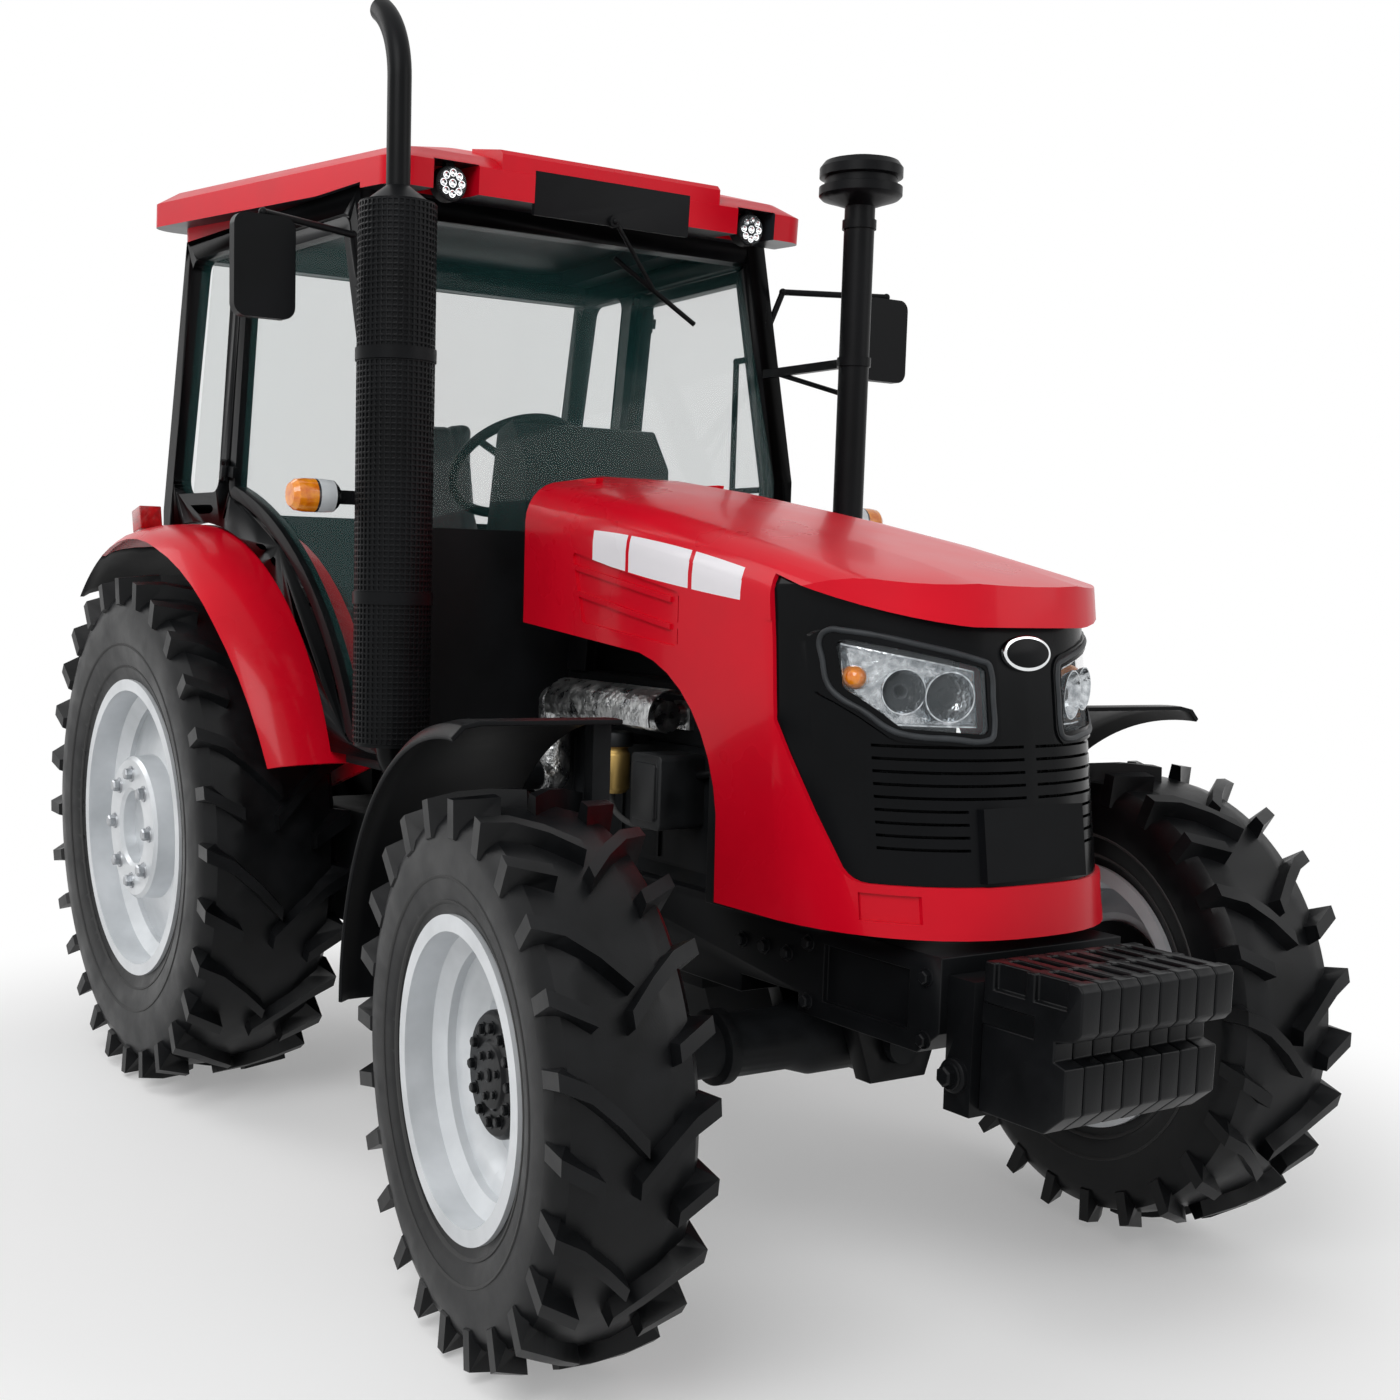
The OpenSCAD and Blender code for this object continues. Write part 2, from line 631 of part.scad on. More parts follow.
module cab_frame() {
  color(frame_black) in_frame() {
    for (side = [1, -1]) on_cab_side(side) {
      along_y(-cab_wall, 0) difference() {
        cab_side_outline();
        door_outline(0);
        quarter_outline(0);
      }
      for (place = hinge_places) on_hinge_line(place) {
        translate([0, 0, -hinge_half]) cylinder(h = 2 * hinge_half, r = hinge_pin_r);
        block(-leaf_w, -hinge_r, -hinge_out - 2, leaf_t - hinge_out, -hinge_half, hinge_half);
        for (z = [-hinge_half, barrel_half]) {
          translate([0, 0, z]) cylinder(h = hinge_half - barrel_half, r = hinge_r);
          block(-hinge_r - 1, 0, -hinge_r, leaf_t - hinge_out, z, z + hinge_half - barrel_half);
        }
      }
    }
    for (x = [screen_top_x - post_w, rear_top_x])
      block(x, x + post_w - 6, -cab_hw(x) + cab_wall / 2, cab_hw(x) - cab_wall / 2, beam_z, cab_top_z);
  }
}

// Roof: drawn from the top of the windscreen, X forward along the roof
module on_roof() translate([screen_top_x, 0, cab_top_z - 13]) rotate([0, roof_tilt, 0]) children();

roof_front = 190;
roof_rear = 1340;
bay_y = 475;
bay_w = 130;
bay_x0 = 85;
bay_h = 74;
panel_hw = 245;
panel_h = 82;
panel_x = 176;

module roof_plan(inset) {
  hull() for (s = [-1, 1]) {
    translate([roof_front - 70 - inset, s * (cab_front_hw - 50 - inset)]) circle(r = 70, $fn = 32);
    translate([100 - roof_rear + inset, s * (cab_rear_hw - 75 - inset)]) circle(r = 100, $fn = 32);
  }
}

module roof() {
  rim = 70;
  color(paint_red) in_frame() difference() {
    union() {
      on_roof() hull() {
        linear_extrude(rim) roof_plan(0);
        translate([0, 0, rim + 32]) linear_extrude(1) roof_plan(50);
        translate([0, 0, roof_h - 1]) linear_extrude(1) roof_plan(240);
      }
      on_roof() along_y(-panel_hw - 100, panel_hw + 100) polygon([[20, rim], [roof_front - 1, rim - 20],
        [roof_front - 1, rim + 40], [roof_front - 14, rim + 52], [20, roof_h - 8]]);
      translate([screen_top_x, 0, cab_top_z]) linear_extrude(roof_h / 2) roof_plan(75);
    }
    translate([screen_top_x, 0, cab_top_z - past]) linear_extrude(roof_h / 2 - 20) roof_plan(170);
    block(screen_top_x - roof_rear - 100, screen_top_x + 30, -cab_rear_hw - 100, cab_rear_hw + 100,
      cab_top_z - 100, cab_top_z);
    on_roof() {
      both_sides() block(bay_x0, roof_front + 20, bay_y - bay_w / 2, bay_y + bay_w / 2, -100, bay_h);
      block(panel_x, roof_front + 20, -panel_hw, panel_hw, -100, panel_h);
    }
  }
}

module cab_glass() {
  screen_hw = cab_hw(cab_x1) - cab_wall - 1;
  top_z = beam_z - seat_gap;
  color(glass_green) in_frame() {
    for (side = [1, -1]) on_cab_side(side)
      along_y(-cab_wall / 2 - glass_t, -cab_wall / 2) quarter_outline(seat_gap);
    along_y(-screen_hw, screen_hw) polygon([[cab_x1 - 10, screen_foot_z + seat_gap], [cab_x1 - 10, sill_z],
      [screen_top_x - 20, top_z], [screen_top_x - 20 - glass_t, top_z], [cab_x1 - 10 - glass_t, sill_z],
      [cab_x1 - 10 - glass_t, screen_foot_z + seat_gap]]);
    along_y(-cab_rear_hw + cab_wall + 30, cab_rear_hw - cab_wall - 30) polygon([[cab_x0 + 10,
      rear_wall_z + seat_gap],
      [rear_top_x + 20, top_z], [rear_top_x + 20 + glass_t, top_z], [cab_x0 + 10 + glass_t,
        rear_wall_z + seat_gap]]);
  }
}

module dashboard() {
  shelf_z = ra_z + 900;
  color(frame_black) in_frame() {
    along_x(dash_x0, cab_x1 - 30) polygon([[-130, floor_z], [130, floor_z], [150, shelf_z], [-150,
      shelf_z]]);
    along_y(-230, 230) rounded(24) polygon([[dash_x0 - 60, shelf_z - 20], [cab_x1 - 40, shelf_z - 20],
      [cab_x1 - 40, shelf_z + 200],
      [dash_x0 + 80, shelf_z + 315], [dash_x0, shelf_z + 290]]);
    for (y = [-90, 0, 90]) along_y(y - 22, y + 22) polygon([[dash_x0 - 76, floor_z + 95], [dash_x0 - 66,
      floor_z + 150],
      [dash_x0 - 58, floor_z + 150], [dash_x0 - 68, floor_z + 95]]);
    for (y = [-90, 0, 90]) bar([dash_x0 - 66, y, floor_z + 130], [dash_x0 + 10, y, floor_z + 230], 8);
  }
}

module steering_wheel() {
  rim_r = 195;
  color(frame_black) in_frame() difference() {
    translate([702, 0, ra_z + 1116]) rotate([0, -42, 0]) {
      rotate_extrude() translate([rim_r, 0]) circle(r = 15, $fn = 24);
      for (a = [60, 180, 300]) rotate([0, 0, a]) rotate([0, 90, 0]) cylinder(h = rim_r, r = 11);
      translate([0, 0, -30]) cylinder(h = 45, r = 45);
      translate([0, 0, -520]) cylinder(h = 491, r = 26);
    }
    block(dash_x0 - seat_gap, dash_x0 + 300, -60, 60, floor_z, sill_z);
  }
}

module seat() {
  base_z = ra_z + 700;
  cushion_h = 110;
  color(frame_black) in_frame() {
    block(160, 400, -120, 120, platform_z, base_z);
    hull() for (x = [150, 520], y = [-200, 200]) translate([x, y, base_z]) cylinder(h = cushion_h, r = 45,
      $fn = 32);
    hull() for (y = [-180, 180]) {
      translate([150, y, base_z + cushion_h]) cylinder(h = 20, r = 45, $fn = 32);
      translate([40, y * 0.8, base_z + cushion_h + 480]) cylinder(h = 20, r = 40, $fn = 32);
    }
  }
}

// Fenders

function fender_edge(a) = fender_out_y - fender_taper * lookup(a, [[fender_a0, 1], [45, 0.4], [75, 0],
  [180, 0]]);

// Section of the rear fender at one angle, in radius and distance from the middle
function fender_section(r, out) = [[r - 380, fender_in_y], [r, fender_in_y], [r, out - 170], [r - 5,
  out - 110], [r - 16, out - 60], [r - 30, out - 24], [r - 50, out],
  [r - 50, out - fender_t], [r - 36, out - 36], [r - 26, out - 66], [r - 18, out - 112],
  [r - fender_t, out - 172], [r - fender_t, fender_in_y + fender_t], [r - 380, fender_in_y + fender_t]];

module fender_sweep(a0, a1, r) {
  steps = ceil((a1 - a0) / fender_step);
  loft([for (i = [0:steps]) let (a = a0 + (a1 - a0) * i / steps)
    [for (p = fender_section(r, fender_edge(a))) [p.x * cos(a), p.y, p.x * sin(a)]]]);
}

module rear_fenders() {
  color(paint_red) in_frame() translate([0, 0, ra_z]) both_sides() fender_sweep(fender_a0, fender_a1,
    fender_r);
}

module mud_flaps() {
  seat_turn = asin(seat_gap / (fender_r - 380));
  color(frame_black) in_frame() translate([0, 0, ra_z]) both_sides() swept_y(fender_a1 + seat_turn, flap_a1)
    polygon(fender_section(fender_r - 1, fender_edge(fender_a1)));
}

// Stacks, mirrors and lamps

module exhaust_stack() {
  shield_z = ra_z + 375;
  top_z = ra_z + 1671;
  tail_z = ra_z + 1960;
  bend_r = 90;
  tip_r = 210;
  tip_a = 60;
  color(frame_black) in_frame() translate([stack_x, stack_y, 0]) {
    translate([0, 0, shield_z]) cylinder(h = top_z - shield_z, r = shield_d / 2);
    translate([0, 0, top_z]) cylinder(h = 40, r1 = shield_d / 2 - 10, r2 = tail_d / 2);
    translate([0, 0, top_z + 40]) cylinder(h = tail_z - top_z - 40, r = tail_d / 2);
    translate([-tip_r, 0, tail_z]) rotate([90, 0, 0])
      rotate_extrude(angle = tip_a) translate([tip_r, 0]) circle(r = tail_d / 2, $fn = 48);
    translate([0, bend_r, stack_foot_z + bend_r]) rotate([0, 90, 0]) rotate([0, 0, -90])
      rotate_extrude(angle = 90) translate([bend_r, 0]) circle(r = pipe_r, $fn = 48);
    translate([0, 0, stack_foot_z]) rod_y(pipe_r, bend_r, log_y - 50 - stack_y);
    for (z = [ra_z + 720, ra_z + 1300]) {
      translate([0, 0, z]) cylinder(h = 30, r = shield_d / 2 + 6);
      block(post_front(z) + seat_gap - stack_x, -40, 60, 100, z, z + 30);
    }
  }
}

module intake_stack() {
  top_z = ra_z + 1810;
  foot_z = ra_z + 560;
  strap_z = ra_z + 1385;
  pipe = intake_d / 2;
  color(frame_black) in_frame() translate([intake_x, intake_y, 0]) {
    translate([0, 0, foot_z]) cylinder(h = top_z - foot_z, r = pipe);
    for (z = [strap_z, top_z - 60]) translate([0, 0, z]) cylinder(h = 24, r = pipe + 5);
    translate([0, 0, top_z]) spun_z() polygon([[0, -1], [pipe, -1], [72, 10], [104, 20], [112, 28], [112,
      50], [98, 54],
      [98, 72], [112, 76], [112, 100], [100, 116], [60, 126], [0, 128]]);
    translate([0, 0, foot_z]) sphere(r = pipe);
    translate([0, 0, foot_z]) rod_y(pipe, head_hw + seat_gap - intake_y, 0);
    block(post_front(strap_z) + seat_gap - intake_x, 0, -15, 5, strap_z, strap_z + 24);
    bar([post_front(strap_z) + 60 - intake_x, -5, strap_z + 8], [0, -5, strap_z - 80], 7);
  }
}

module mirrors() {
  foot_z = ra_z + 1550;
  arm_z = ra_z + 1648;
  base_x = post_front(foot_z) - 45;
  elbow = [base_x + 30, cab_hw(base_x) + 40, arm_z];
  head = [1180, 985, arm_z];
  color(frame_black) in_frame() both_sides() {
    translate([base_x, cab_hw(base_x) + 1, foot_z]) rotate([0, 0, -cab_slope]) block(-12, 22,
      -1 + seat_gap, 14, -24, 24);
    bar([base_x + 6, cab_hw(base_x) + 12, foot_z], elbow, 9);
    translate(elbow) sphere(r = 11);
    bar(elbow, head, 9);
    translate(head) sphere(r = 11);
    bar(head, head - [0, 0, 120], 9);
    along_x(1162, 1192) hull() for (y = [935, 1032], z = [foot_z - 120, foot_z + 62]) translate([y,
      z]) circle(r = 30, $fn = 32);
    along_x(1150, 1170) hull() for (y = [943, 1024], z = [foot_z - 112, foot_z + 54]) translate([y,
      z]) circle(r = 30, $fn = 32);
  }
}

module turn_lamps() {
  z = ra_z + 980;
  x = post_front(z) + seat_gap;
  color(lamp_amber) in_frame() both_sides() {
    block(x, x + 14, cab_front_hw - 45, 830, z - 17, z + 17);
    block(x, x + 40, 800, 830, z - 17, z + 17);
    translate([x + 40, 0, z]) spun_y() polygon([[0, 813], [30, 813], [39, 824], [41, 850], [41, 900], [38,
      922], [28, 935], [0, 937]]);
  }
}

module work_lamps() {
  x0 = bay_x0 + 12;
  z = 22;
  color(lamp_clear) in_frame() on_roof() both_sides() {
    translate([0, bay_y, z]) spun_x() polygon([[0, x0], [26, x0], [40, x0 + 22], [44, x0 + 30], [44,
      x0 + 66], [40, x0 + 68], [0, x0 + 68]]);
    block(x0 + 34, x0 + 54, bay_y - 12, bay_y + 12, z, bay_h - seat_gap);
  }
}

module rear_lamps() {
  y = fender_out_y - 80;
  color(lamp_red) in_frame() translate([0, 0, ra_z]) both_sides() rotate([0, -12, 0])
    block(-40, 40, y - 70, y, fender_r + seat_gap, fender_r + 70);
}

module wiper() {
  pivot_z = -16;
  pivot = [screen_top_x + 200, 0, cab_top_z - 42];
  blade = [[screen_top_x + 11, 120, cab_top_z - 98], [screen_top_x + 62, 365, cab_top_z - 263]];
  color(frame_black) in_frame() {
    on_roof() {
      block(panel_x + seat_gap, roof_front, 1 - panel_hw, panel_hw - 1, -28, panel_h - seat_gap);
      translate([0, 0, pivot_z]) rod_x(16, roof_front - 5, roof_front + 12);
    }
    bar(pivot, (blade[0] + blade[1]) / 2, 6);
    translate(pivot) sphere(r = 9);
    bar(blade[0], blade[1], 7);
  }
}

// Front weights

module weight_carrier() {
  boss = [bolster_x1 + 30, ra_z - 140];
  color(frame_black) in_frame() {
    block(bolster_x1, bolster_x1 + 70, -230, 230, ra_z - 215, ra_z + 50);
    block(bolster_x1 + 70, bolster_x1 + 200, -205, 205, ra_z - 30, ra_z + 10);
    both_sides() translate([boss.x, 0, boss.y]) spun_y() polygon([[0, 229], [34, 229], [34, 240], [22,
      246], [0, 246]]);
  }
}

module front_weights() {
  x0 = bolster_x1 + 70 + seat_gap;
  x1 = weights_x1;
  top_z = ra_z + 91;
  hook_z = ra_z + 10 + seat_gap;
  low_z = ra_z - 203;
  grip_z = ra_z - 40;
  pocket = 12;
  color(cast_grey) in_frame() for (i = [0:weight_count - 1]) {
    y0 = (i - weight_count / 2) * weight_pitch + 1;
    y1 = y0 + weight_pitch - 2;
    difference() {
      along_y(y0, y1) polygon([[x0, hook_z], [x0 + 130, hook_z], [x0 + 130, ra_z - 30 - seat_gap], [x0,
        ra_z - 30 - seat_gap],
        [x0, low_z], [x1 - 78, low_z], [x1 - 30, low_z + 42], [x1 - 30, grip_z - 30], [x1 - 60,
          grip_z - 22], [x1 - 60, grip_z + 14],
        [x1 - 14, grip_z + 24], [x1, grip_z + 40], [x1, top_z - 12], [x1 - 12, top_z], [x0, top_z]]);
      for (y = [[y0 - past, y0 + pocket], [y1 - pocket, y1 + past]], x = [x0 + 26, x0 + 128])
        block(x, x + 78, y[0], y[1], ra_z + 40, top_z + past);
    }
  }
}

// Hood

hood_stations = [
  for (i = [0:5]) let (t = i / 5, x1 = nose_x + nose_lean)
    [hood_x0 + (x1 - hood_x0) * t, hood_rear_hw + (hood_hw - hood_rear_hw) * min(1, 2.2 * t),
     hood_z1 + (nose_z - hood_z1) * t * (x1 - hood_x0) / (nose_x - hood_x0) + hood_arch * 4 * t * (1 - t)]
];

function hood_section(hw, zt, inset) =
  let (r = hood_corner_r - inset / 2, w = hw - inset, z = zt - inset)
  concat([[-w, hood_foot_z], [w, hood_foot_z]],
    arc([w - r, z - hood_crown - r], r, 0, 76, 6), [[w * 0.35, z - 4]], [[-w * 0.35, z - 4]],
    arc([r - w, z - hood_crown - r], r, 104, 180, 6));

// Nose in plan, rounded to the sides, with its middle at X = 0
module nose_plan(hw) {
  back = nose_x - hood_x0 + 400;
  polygon(concat([[-back, -hw]], [for (i = [-12:12]) let (a = 90 * i / 12)
    [nose_bow * (pow(cos(a), 2 / nose_power) - 1), hw * sign(a) * pow(abs(sin(a)), 2 / nose_power)]],
      [[-back, hw]]));
}

// Everything behind the leaning front of the nose
module behind_nose(front, hw)
  translate([front, 0, lip_z]) rotate([0, -lean_a, 0]) translate([0, 0,
    -1200]) linear_extrude(2400) nose_plan(hw);

module hood_form(inset, rear = 0, lip = false) {
  hw = hood_hw + 3 - inset;
  intersection() {
    hull() for (s = hood_stations) translate([s.x + (s.x == hood_x0 ? rear : 0), 0, 0])
      along_x(0, 1) polygon(hood_section(s.y, s.z, inset));
    union() {
      behind_nose(nose_x - mask_set - inset, hw);
      if (lip) intersection() {
        behind_nose(nose_x - inset, hw);
        block(hood_x0 - 100, nose_x + 200, -hood_hw - 50, hood_hw + 50, lip_z + inset, hood_z1 + 200);
      }
    }
  }
}

// Region below the hood's lower edge, seen from the side
module hood_underside() {
  polygon(concat([[hood_x0 - 60, hood_low_z - 200], [hood_x0 - 60, ra_z + 685], [hood_x0 + 80, ra_z + 672]],
    [[fa_x - 420, ra_z + 636]], arc([fa_x - 420, ra_z + 246], 390, 80, 8, 8),
    [[fa_x - 30, hood_low_z], [nose_x + 300, hood_low_z], [nose_x + 300, hood_low_z - 200]]));
}

// Region of the black front mask, seen from the side
module mask_outline(inset) {
  foot_z = ra_z + 212;
  offset(delta = -inset) polygon(concat([[nose_x + 250, lip_z], [nose_x - 20, lip_z], [fa_x + 120,
    nose_z + 20],
    [fa_x + 136, ra_z + 680], [fa_x + 150, ra_z + 518]], arc([fa_x + 380, foot_z + 60], 60, 215, 270, 4),
    [[nose_x + 250, foot_z]]));
}

// Louvre panel pressed into the hood's sides, seen from the side
module louvre_outline() {
  x0 = hood_at(0.27);
  x1 = hood_at(0.785);
  difference() {
    rounded(10) polygon([[x0, ra_z + 858], [x1, ra_z + 770], [x1, ra_z + 650], [x0 + 60, ra_z + 690]]);
    for (z = [805, 745]) polygon([[x0, ra_z + z + 24], [x1 - 30, ra_z + z - 46], [x1 - 30, ra_z + z - 58],
      [x0, ra_z + z + 12]]);
  }
}

module hood() {
  slot_x = hood_at(0.785);
  width = hood_hw + 50;
  ear = [180, 200];
  color(paint_red) in_frame() {
    difference() {
      hood_form(0, 0, true);
      hood_form(hood_wall, -10, true);
      along_y(-width, width) hood_underside();
      along_y(-width, width) mask_outline(0);
      difference() {
        union() {
          along_y(-width, width) louvre_outline();
          both_sides() block(nose_x - 200, nose_x + 200, 250, 330, ra_z + 140, ra_z + 194);
        }
        hood_form(press_depth);
      }
      for (z = [[655, 690], [703, 762]]) block(slot_x - 8, slot_x + 4, -width, width, ra_z + z[0],
        ra_z + z[1]);
    }
    both_sides() difference() {
      along_y(ear[0], ear[1]) polygon([[hood_pivot.x - 28, hood_pivot.y - 30], [hood_pivot.x + 30,
        hood_pivot.y - 30],
        [hood_pivot.x + 60, hood_pivot.y + 54], [hood_pivot.x - 28, hood_pivot.y + 54]]);
      translate([hood_pivot.x, 0, hood_pivot.y]) rod_y(pivot_r + run_gap, ear[0] - 10, ear[1] + 10);
    }
  }
}

// Openings for the headlamps, seen from the front
module lamp_outline(inset) {
  offset(delta = -inset) rounded(14) polygon([[104, ra_z + 508], [262, ra_z + 518], [330, ra_z + 592],
    [336, ra_z + 692],
    [104, ra_z + 638]]);
}

module lamp_openings(inset) both_sides() along_x(fa_x + 180 + inset, nose_x + 300) lamp_outline(inset);

module grille() {
  plate = [137, ra_z + 216, ra_z + 362];
  color(frame_black) in_frame() {
    difference() {
      intersection() {
        difference() {
          union() {
            hood_form(mask_depth);
            intersection() {
              hood_form(mask_depth / 2);
              lamp_openings(-bezel_w);
            }
          }
          hood_form(mask_depth + hood_wall);
        }
        along_y(-hood_hw - 50, hood_hw + 50) mask_outline(seat_gap);
      }
      lamp_openings(0);
      for (i = [0:mesh_rows - 1], s = [-1, 1]) {
        z = mesh_z + mesh_pitch * i;
        in_y = z < plate[2] + 8 ? plate[0] + 16 : 16;
        block(fa_x + 200, nose_x + 200, min(s * in_y, s * 300), max(s * in_y, s * 300), z, z + mesh_slot);
      }
    }
    translate([nose_x - mask_set - mask_depth, 0, lip_z]) rotate([0, -lean_a, 0])
      block(-30, 2, -plate[0], plate[0], plate[1] - lip_z, plate[2] - lip_z);
  }
}

module headlamps() {
  color(lamp_clear) in_frame() intersection() {
    difference() {
      hood_form(mask_depth);
      hood_form(mask_depth + hood_wall);
    }
    lamp_openings(seat_gap);
  }
}

// Doors

module door_shell(side) {
  handle = [cab_x1 - post_w - door_gap - door_rim / 2, ra_z + 950];
  color(frame_black) in_frame() on_cab_side(side) {
    along_y(-door_t, 0) difference() {
      door_outline(door_gap);
      door_outline(door_gap + door_rim);
    }
    for (place = hinge_places) on_hinge_line(place) difference() {
      union() {
        translate([0, 0, seat_gap - barrel_half]) cylinder(h = 2 * (barrel_half - seat_gap), r = hinge_r);
        block(0, leaf_w, -hinge_out - 2, leaf_t - hinge_out, seat_gap - barrel_half,
          barrel_half - seat_gap);
      }
      translate([0, 0, -barrel_half - past]) cylinder(h = 2 * barrel_half + 2 * past,
        r = hinge_pin_r + run_gap);
    }
    along_y(-2, 26) hull() for (z = [-60, 60]) translate(handle + [0, z]) circle(r = 10);
    for (z = grab_z) {
      bar([grab_x, -door_t - 4, z], [screen_x(z) - post_w - door_gap - 18, -door_t - 4, z], 9);
      translate([grab_x, -door_t - 4, z]) sphere(r = 10);
    }
    bar([grab_x, -door_t - 4, grab_z[0]], [grab_x, -door_t - 4, grab_z[1]], 9);
  }
}

module door_pane(side) {
  color(glass_green) in_frame() on_cab_side(side)
    along_y(-door_t / 2 - glass_t, -door_t / 2) door_outline(door_gap + door_rim + seat_gap);
}

module door_left() { door_shell(1); }
module door_left_glass() { door_pane(1); }
module door_right() { door_shell(-1); }
module door_right_glass() { door_pane(-1); }

// Steered front ends: children are drawn about the left kingpin, for straight wheels

front_fender_r = front_tyre_d / 2 + front_fender_gap;
knuckle_h = 110;
yoke_t = 30;

module steered(side)
  in_frame() translate([fa_x, side * kp_y, fa_z]) rotate([0, 0, -rest_steer]) sided(side) children();

module knuckle(side) {
  post = [-60, -20];
  post_top = sqrt(pow(front_fender_r - front_fender_t, 2) - pow(post[0], 2)) - seat_gap;
  color(cast_grey) steered(side) {
    translate([0, 0, -knuckle_h]) cylinder(h = 2 * knuckle_h, r = kingpin_d / 2);
    for (z = [-knuckle_h, knuckle_h - yoke_t]) {
      translate([0, 0, z]) cylinder(h = yoke_t, r = 58);
      block(-58, 58, 0, 90, z, z + yoke_t);
    }
    rod_y(108, 78, 105);
    block(-70, 70, 78, 100, -knuckle_h, knuckle_h);
    rod_y(spindle_d / 2, 105, kingpin_inset + 20);
    block(-ram_back, -40, -28, 12, -106, -86);
    block(post[0], post[1], -30, 10, knuckle_h - 10, post_top);
  }
}

module front_fender(side) {
  r = front_fender_r;
  t = front_fender_t;
  in_y = -34;
  out_y = kingpin_inset + 165;
  color(frame_black) steered(side) swept_y(88, 180) polygon([[r, in_y], [r, out_y - 60], [r - 8,
    out_y - 22], [r - 32, out_y],
    [r - 40, out_y - 6], [r - 16, out_y - 30], [r - t, out_y - 64], [r - t, in_y]]);
}

module knuckle_left() { knuckle(1); }
module knuckle_right() { knuckle(-1); }
module front_fender_left() { front_fender(1); }
module front_fender_right() { front_fender(-1); }

module steering_rod() {
  eye_y = kp_y - 8;
  color(rim_silver) in_frame() translate([fa_x - ram_back, ram_back * sin(rest_steer), fa_z + ram_up]) {
    rod_y(ram_rod_r, -eye_y, eye_y);
    both_sides() translate([0, eye_y, 0]) sphere(r = ram_rod_r + 9);
  }
}

// Wheels: drawn about their own middle, outwards to +Y

// Lug sections: share of the tyre's width and drop of the face, the same for the root, share of the sweep
long_lug = [[-0.02, 0, -0.02, lug_h + 16, 0], [0.15, 0, 0.15, lug_h + 17, 0.44], [0.32, 3, 0.3, lug_h + 18,
  0.8],
  [0.495, 14, 0.4, lug_h + 26, 1], [0.485, 92, 0.42, 104, 1.04]];
short_lug = [[0.24, 1, 0.24, lug_h + 17, 0.64], [0.495, 14, 0.4, lug_h + 26, 1], [0.485, 92, 0.42, 104,
  1.04]];
lug_sweep = 0.42 * 180 / PI;
lug_flare = 16;

function lug_corner(r, y, half, turn) = [r * sin(turn + asin(half / r)), y, r * cos(turn + asin(half / r))];

module lug(form, r, w, face_w) {
  root = face_w + lug_flare;
  n = len(form);
  last = 4 * (n - 1);
  points = [for (s = form) let (turn = -lug_sweep * w / r * s[4])
    each [lug_corner(r - s[1], s[0] * w, -face_w / 2, turn), lug_corner(r - s[1], s[0] * w, face_w / 2,
      turn),
      lug_corner(r - s[3], s[2] * w, root / 2, turn), lug_corner(r - s[3], s[2] * w, -root / 2, turn)]];
  polyhedron(points, concat([[0, 1, 2], [0, 2, 3]],
    [for (k = [0:n - 2], j = [0:3]) let (a = 4 * k + j, b = 4 * k + (j + 1) % 4) each [[a, a + 4, b + 4],
      [a, b + 4, b]]],
    [[last, last + 2, last + 1], [last, last + 3, last + 2]]), convexity = 4);
}

// Tyre with its lugs; the lowest lug stands with an edge straight down
module tyre(d, w, rim_d, lugs, face_w) {
  r = d / 2;
  b = rim_d / 2 + seat_gap;
  h = r - lug_h - b;
  side = [[0, 0.4], [24, 0.4], [0.28 * h, 0.455], [0.55 * h, 0.485], [0.72 * h, 0.478], [0.84 * h, 0.45],
    [0.94 * h, 0.39], [h, 0.22]];
  bore = [[0, 0.4 * w - 30], [0.3 * h, 0.4 * w - 25], [h - 30, 0.32 * w]];
  down = 180 - asin(face_w / 2 / r);
  spun_y() polygon(concat([for (p = side) [b + p.x, -p.y * w]],
    [for (i = [len(side) - 1:-1:0]) [b + side[i].x, side[i].y * w]],
    [for (p = bore) [b + p.x, p.y]], [for (i = [len(bore) - 1:-1:0]) [b + bore[i].x, -bore[i].y]]));
  for (half = [0, 1]) mirror([0, half, 0]) for (i = [0:lugs - 1])
    rotate([0, down + 360 * (i + half / 2) / lugs, 0]) lug(i % 2 == 0 ? long_lug : short_lug, r, w, face_w);
}

module rim_ring(rim_d, w) {
  r = rim_d / 2;
  edge = w * 0.4;
  spun_y() polygon([[r - 12, -edge - 12], [r + 22, -edge - 12], [r + 22, -edge - seat_gap], [r,
    -edge - seat_gap],
    [r, -w * 0.22], [r - 35, -w * 0.16], [r - 35, w * 0.16], [r, w * 0.22], [r, edge + seat_gap],
    [r + 22, edge + seat_gap], [r + 22, edge + 12], [r - 12, edge + 12], [r - 12, w * 0.24], [r - 47,
      w * 0.17],
    [r - 47, -w * 0.17], [r - 12, -w * 0.24]]);
}

module front_wheel(side) steered(side) translate([0, kingpin_inset, 0]) children();
module rear_wheel(side) in_frame() translate([0, side * rear_y, ra_z]) sided(side) children();

module front_rim() {
  r = front_rim_d / 2 - 40;
  rim_ring(front_rim_d, front_tyre_w);
  spun_y() polygon([[132, -20], [196, -20], [214, -10], [r - 20, 14], [r, 20], [r, 36], [r - 26, 30], [208,
    4], [192, -6], [132, -6]]);
}

module front_hub() {
  seat_y = -20 - seat_gap;
  difference() {
    spun_y() polygon([[0, -50], [125, -50], [125, -34], [175, -34], [175, seat_y], [130, seat_y], [130,
      46], [122, 56],
      [72, 56], [66, 63], [0, 63]]);
    rod_y(spindle_d / 2 + run_gap, -51, 21);
  }
}

module rear_rim() {
  r = rear_rim_d / 2 - 40;
  rim_ring(rear_rim_d, rear_tyre_w);
  spun_y() polygon([[0, 20], [110, 20], [110, 60], [225, 80], [r, 40], [r, 56], [r - 40, 66], [244, 98],
    [222, 106], [218, 166],
    [208, 176], [122, 176], [112, 166], [112, 130], [0, 130]]);
  rod_y(shaft_d / 2, -290, 20);
}

